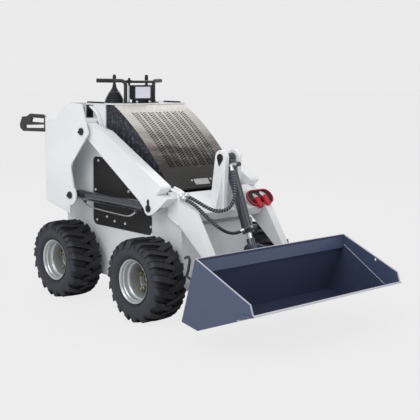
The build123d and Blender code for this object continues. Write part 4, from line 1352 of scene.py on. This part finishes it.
class LOADER_OT_cylinders(bpy.types.Operator):
    """Glands, collars, ports, elbows and steel pipes on the cylinders"""

    bl_idname = "loader.cylinders"
    bl_label = "Cylinders"

    # Start, length and radius of each ring on a lift barrel, measured from its base pin
    lift_rings = ((50, 10, 30.5), (598, 46, 31.5))
    lift_ports = (62, 560)
    lift_bore = 28
    lift_pipe = [(-318, 566), (-300, 548), (-155, 539), (60, 533), (109, 534), (150, 545), (182, 568)]
    lift_collar = [(15, 0), (19, 0), (20, 2), (20, 7), (15, 8)]
    bucket_bore = 29
    # How far short of the rod's eye the bucket cylinder's barrel ends
    rod_shown = 86
    sleeve = [(20, 0), (21.5, 0), (22.5, 2), (22.5, 54), (20, 56)]

    def execute(self, context):
        run = pointed(LIFT_BASE, LIFT_EYE)
        for side_name, side in SIDES.items():
            y = side * LIFT_OUT
            base = at(LIFT_BASE[0], y, LIFT_BASE[1])
            eye = at(LIFT_EYE[0], y, LIFT_EYE[1])
            barrel = Form()
            for start, length, radius in self.lift_rings:
                view = facing(base + run * (start / 1000), run)
                barrel.lathe(collar(self.lift_bore, radius, length), view, 40, closed=True)
            for reach in self.lift_ports:
                port = base + run * (reach / 1000)
                barrel.rod(port, port + Vector((0, 0, -0.042)), 11, 16)
            barrel.make(f"lift_glands_{side_name}", "cylinder_paint", f"lift_barrel_{side_name}")
            pipe = Form()
            pipe.tube([at(x, y, z) for x, z in self.lift_pipe], 4.5)
            for x, z in (self.lift_pipe[0], self.lift_pipe[-1]):
                pipe.rod(at(x, y, z - 6), at(x, y, z + 10), 8.5, 6)
            pipe.make(f"lift_pipe_{side_name}", "zinc", f"lift_barrel_{side_name}")
            wiper = Form()
            wiper.lathe(self.lift_collar, facing(eye - run * 0.040, run), 32, closed=True)
            wiper.make(f"lift_rod_collar_{side_name}", "cylinder_paint", f"lift_rod_{side_name}")
        self.add_bucket_cylinder()
        return {"FINISHED"}

    def add_bucket_cylinder(self):
        """Rings and elbows on the bucket cylinder's barrel, and the sleeve and eye at its rod's end."""
        run = pointed(MAST_PIN, BUCKET_EYE)
        top = at(MAST_PIN[0], 0, MAST_PIN[1])
        barrel_end = math.dist(MAST_PIN, BUCKET_EYE) - self.rod_shown
        dark = Form()
        for start, length, radius in ((26, 10, 31.5), (barrel_end - 44, 42, 32)):
            view = facing(top + run * (start / 1000), run)
            dark.lathe(collar(self.bucket_bore, radius, length), view, 40, closed=True)
        silver = Form()
        ahead = Vector((-run.z, 0, run.x))
        left = Vector((0, 1, 0))
        ring = box(self.bucket_bore, -3, 34, 3)
        # Each elbow's metal, its port's reach from the mast's pin, and how far ahead the port lies
        elbows = ((silver, 58, 56), (dark, barrel_end - 22, 50))
        for (elbow, reach, out), hose in zip(elbows, HOSES.values()):
            on_barrel = top + run * (reach / 1000)
            port = on_barrel + ahead * (out / 1000)
            corner = port - left * 0.050
            hose_end = at(*hose["route"][-1])
            back = (hose_end - corner).normalized()
            elbow.tube([hose_end, hose_end - back * 0.010, corner, port - left * 0.024, port], 8, 16)
            silver.rod(hose_end + back * 0.012, hose_end - back * 0.008, 11.5, 20)
            silver.rod(port - left * 0.026, port - left * 0.013, 11, 6)
            silver.lathe(ring, facing(on_barrel, run + ahead * 0.35), 40, closed=True)
        silver.make("hose_elbows_bent", "zinc", "bucket_barrel", ("hose_elbows",))
        dark.make("bucket_glands", "cylinder_paint", "bucket_barrel")
        rod_end = Form()
        end = at(BUCKET_EYE[0], 0, BUCKET_EYE[1])
        rod_end.lathe(self.sleeve, facing(end - run * 0.056, run), 32, closed=True)
        rod_end.lathe(box(15, -22.4, 24.8, 22.4), facing(end, left), 40, closed=True)
        rod_end.make("bucket_rod_end", "cylinder_paint", "bucket_rod")


class LOADER_OT_bucket(bpy.types.Operator):
    """Band and side cutters in a lighter copy of the paint as painted light, a dark lining of painted shade,
    painted highlights on the edges, latch handle and pin heads of the bucket
    """

    bl_idname = "loader.bucket"
    bl_label = "Bucket trim"

    # Side-view corners of the band along the top, from its upper edge
    band = ((941, 444), (952, 372), (926, 369))
    # Side-view corners of the liner on each inner side, in the dark painted-shade paint
    shade_liner = ((928, 376), (953, 389), (1243, 211), (1228, 201), (961, 102), (853, 117))
    # Line of the dark sheet of painted shade over the back and the floor
    shade_lining = ((928, 371), (853, 115.5), (960, 98.5), (1233, 202))
    # The latch handle at the right side, from its pivot to its hook
    latch = ((905, 328), (868, 334), (850, 346), (862, 366), (869, 400), (876, 430), (860, 446), (838, 430))
    cutter = ((1256, 218), (1268, 236), (1330, 238), (1341, 236), (1302, 222), (1258, 206))
    # Corners of the lip along the front, and the side plates' front corners, from the pivot
    lip = ((474, -181.4), (492, -178.5), (506.5, -188.5), (492, -189.5))
    front = ((494, -128), (493, -181))

    def execute(self, context):
        band = Form()
        # The band and the side cutters take the lighter painted-light copy of the paint.
        band.side_plate(self.band, -SIDE_PLATE_INNER, SIDE_PLATE_INNER, 1.5)
        for side in SIDES.values():
            band.side_plate(self.cutter, side * 560, side * 565, 1.0)
        band.make("bucket_band", "band_painted_light", "bucket")
        # Painted shade: a dark sheet over the back and the floor, and dark liners on the inner sides.
        shade_lining = Form()
        (x, z), *rest = self.shade_lining
        raised = [(x + 2.0, z + 0.5)] + [(x + 2.2, z + 1.8) for x, z in rest]
        shade_lining.side_plate(list(self.shade_lining) + raised[::-1], 1 - SIDE_PLATE_INNER, SIDE_PLATE_INNER - 1)
        for side in SIDES.values():
            shade_lining.side_plate(self.shade_liner, side * 549, side * 552.5)
        shade_lining.make("bucket_shade_lining", "shade_lining_paint", "bucket")
        self.add_edges()
        self.add_fittings()
        return {"FINISHED"}

    def add_edges(self):
        """Bright lines: painted highlights on the liners' edges and on the top edges of the plates and the
        band, and the lip.
        """
        lines = Form()
        lines.side_plate([bucket_point(*corner) for corner in self.lip], -SIDE_PLATE_OUTER, SIDE_PLATE_OUTER)
        (top_x, top_z), (low_x, low_z) = (bucket_point(*corner) for corner in self.front)
        slope = [(940, 445), (top_x, top_z), (top_x + 1, top_z + 1.4), (941, 446.8)]
        nose = [(top_x, top_z), (low_x, low_z), (low_x + 1.5, low_z), (top_x + 1.5, top_z)]
        for side in SIDES.values():
            # Painted highlights: bright lines on the liners' edges and on the top and front edges of the
            # side plates, where light catches them.
            lines.rod(at(953, side * 549, 389), at(1243, side * 549, 211), 1.7, 8, 0.4)
            for edge in (slope, nose):
                lines.side_plate(edge, side * (SIDE_PLATE_INNER + 0.2), side * SIDE_PLATE_OUTER)
        lines.side_plate(box(936, 444.6, 946, 446.4), -SIDE_PLATE_INNER, SIDE_PLATE_INNER)
        lines.make("bucket_lip_and_painted_highlights", "lip_steel", "bucket")

    def add_fittings(self):
        """The latch handle with its pivot, and the heads of the bucket's pins."""
        dark = Form()
        dark.tube([at(x, -538, z) for x, z in self.latch], 7, 16)
        dark.rod(at(902, -525, 330), at(902, -551, 330), 12, 20)
        for side in SIDES.values():
            eye = at(BUCKET_EYE[0], side * 43, BUCKET_EYE[1])
            dark.lathe([(0, -5), (19, -5), (19, 6), (17, 8), (0, 8)], facing(eye, (0, side, 0)), 28)
            for y, out in ((321, side), (231, -side)):
                pivot = facing(at(BUCKET_PIVOT[0], side * y, BUCKET_PIVOT[1]), (0, out, 0))
                dark.lathe([(0, -3), (19, -3), (19, 3), (17, 4.5), (0, 4.5)], pivot, 28)
        dark.make("bucket_latches", "black_paint", "bucket")


OPERATORS = (
    LOADER_OT_stage,
    LOADER_OT_finishes,
    LOADER_OT_hoses,
    LOADER_OT_tyres,
    LOADER_OT_rims,
    LOADER_OT_hood,
    LOADER_OT_body,
    LOADER_OT_controls,
    LOADER_OT_boom,
    LOADER_OT_cylinders,
    LOADER_OT_bucket,
)


class LOADER_PT_panel(bpy.types.Panel):
    """Lists the sizes and the making steps"""

    bl_idname = "LOADER_PT_panel"
    bl_label = "Mini Loader"
    bl_space_type = "VIEW_3D"
    bl_region_type = "UI"
    bl_category = "Mini Loader"

    def draw(self, context):
        sizes = settings()
        for name in LoaderSizes.__annotations__:
            self.layout.prop(sizes, name)
        for operator in OPERATORS:
            self.layout.operator(operator.bl_idname)


def register():
    for cls in (LoaderSizes, LOADER_PT_panel, *OPERATORS):
        bpy.utils.register_class(cls)
    bpy.types.Scene.mini_loader = PointerProperty(type=LoaderSizes)


def unregister():
    del bpy.types.Scene.mini_loader
    for cls in reversed((LoaderSizes, LOADER_PT_panel, *OPERATORS)):
        bpy.utils.unregister_class(cls)


def main():
    register()
    for operator in OPERATORS:
        group, name = operator.bl_idname.split(".")
        getattr(getattr(bpy.ops, group), name)()


if __name__ == "__main__":
    main()
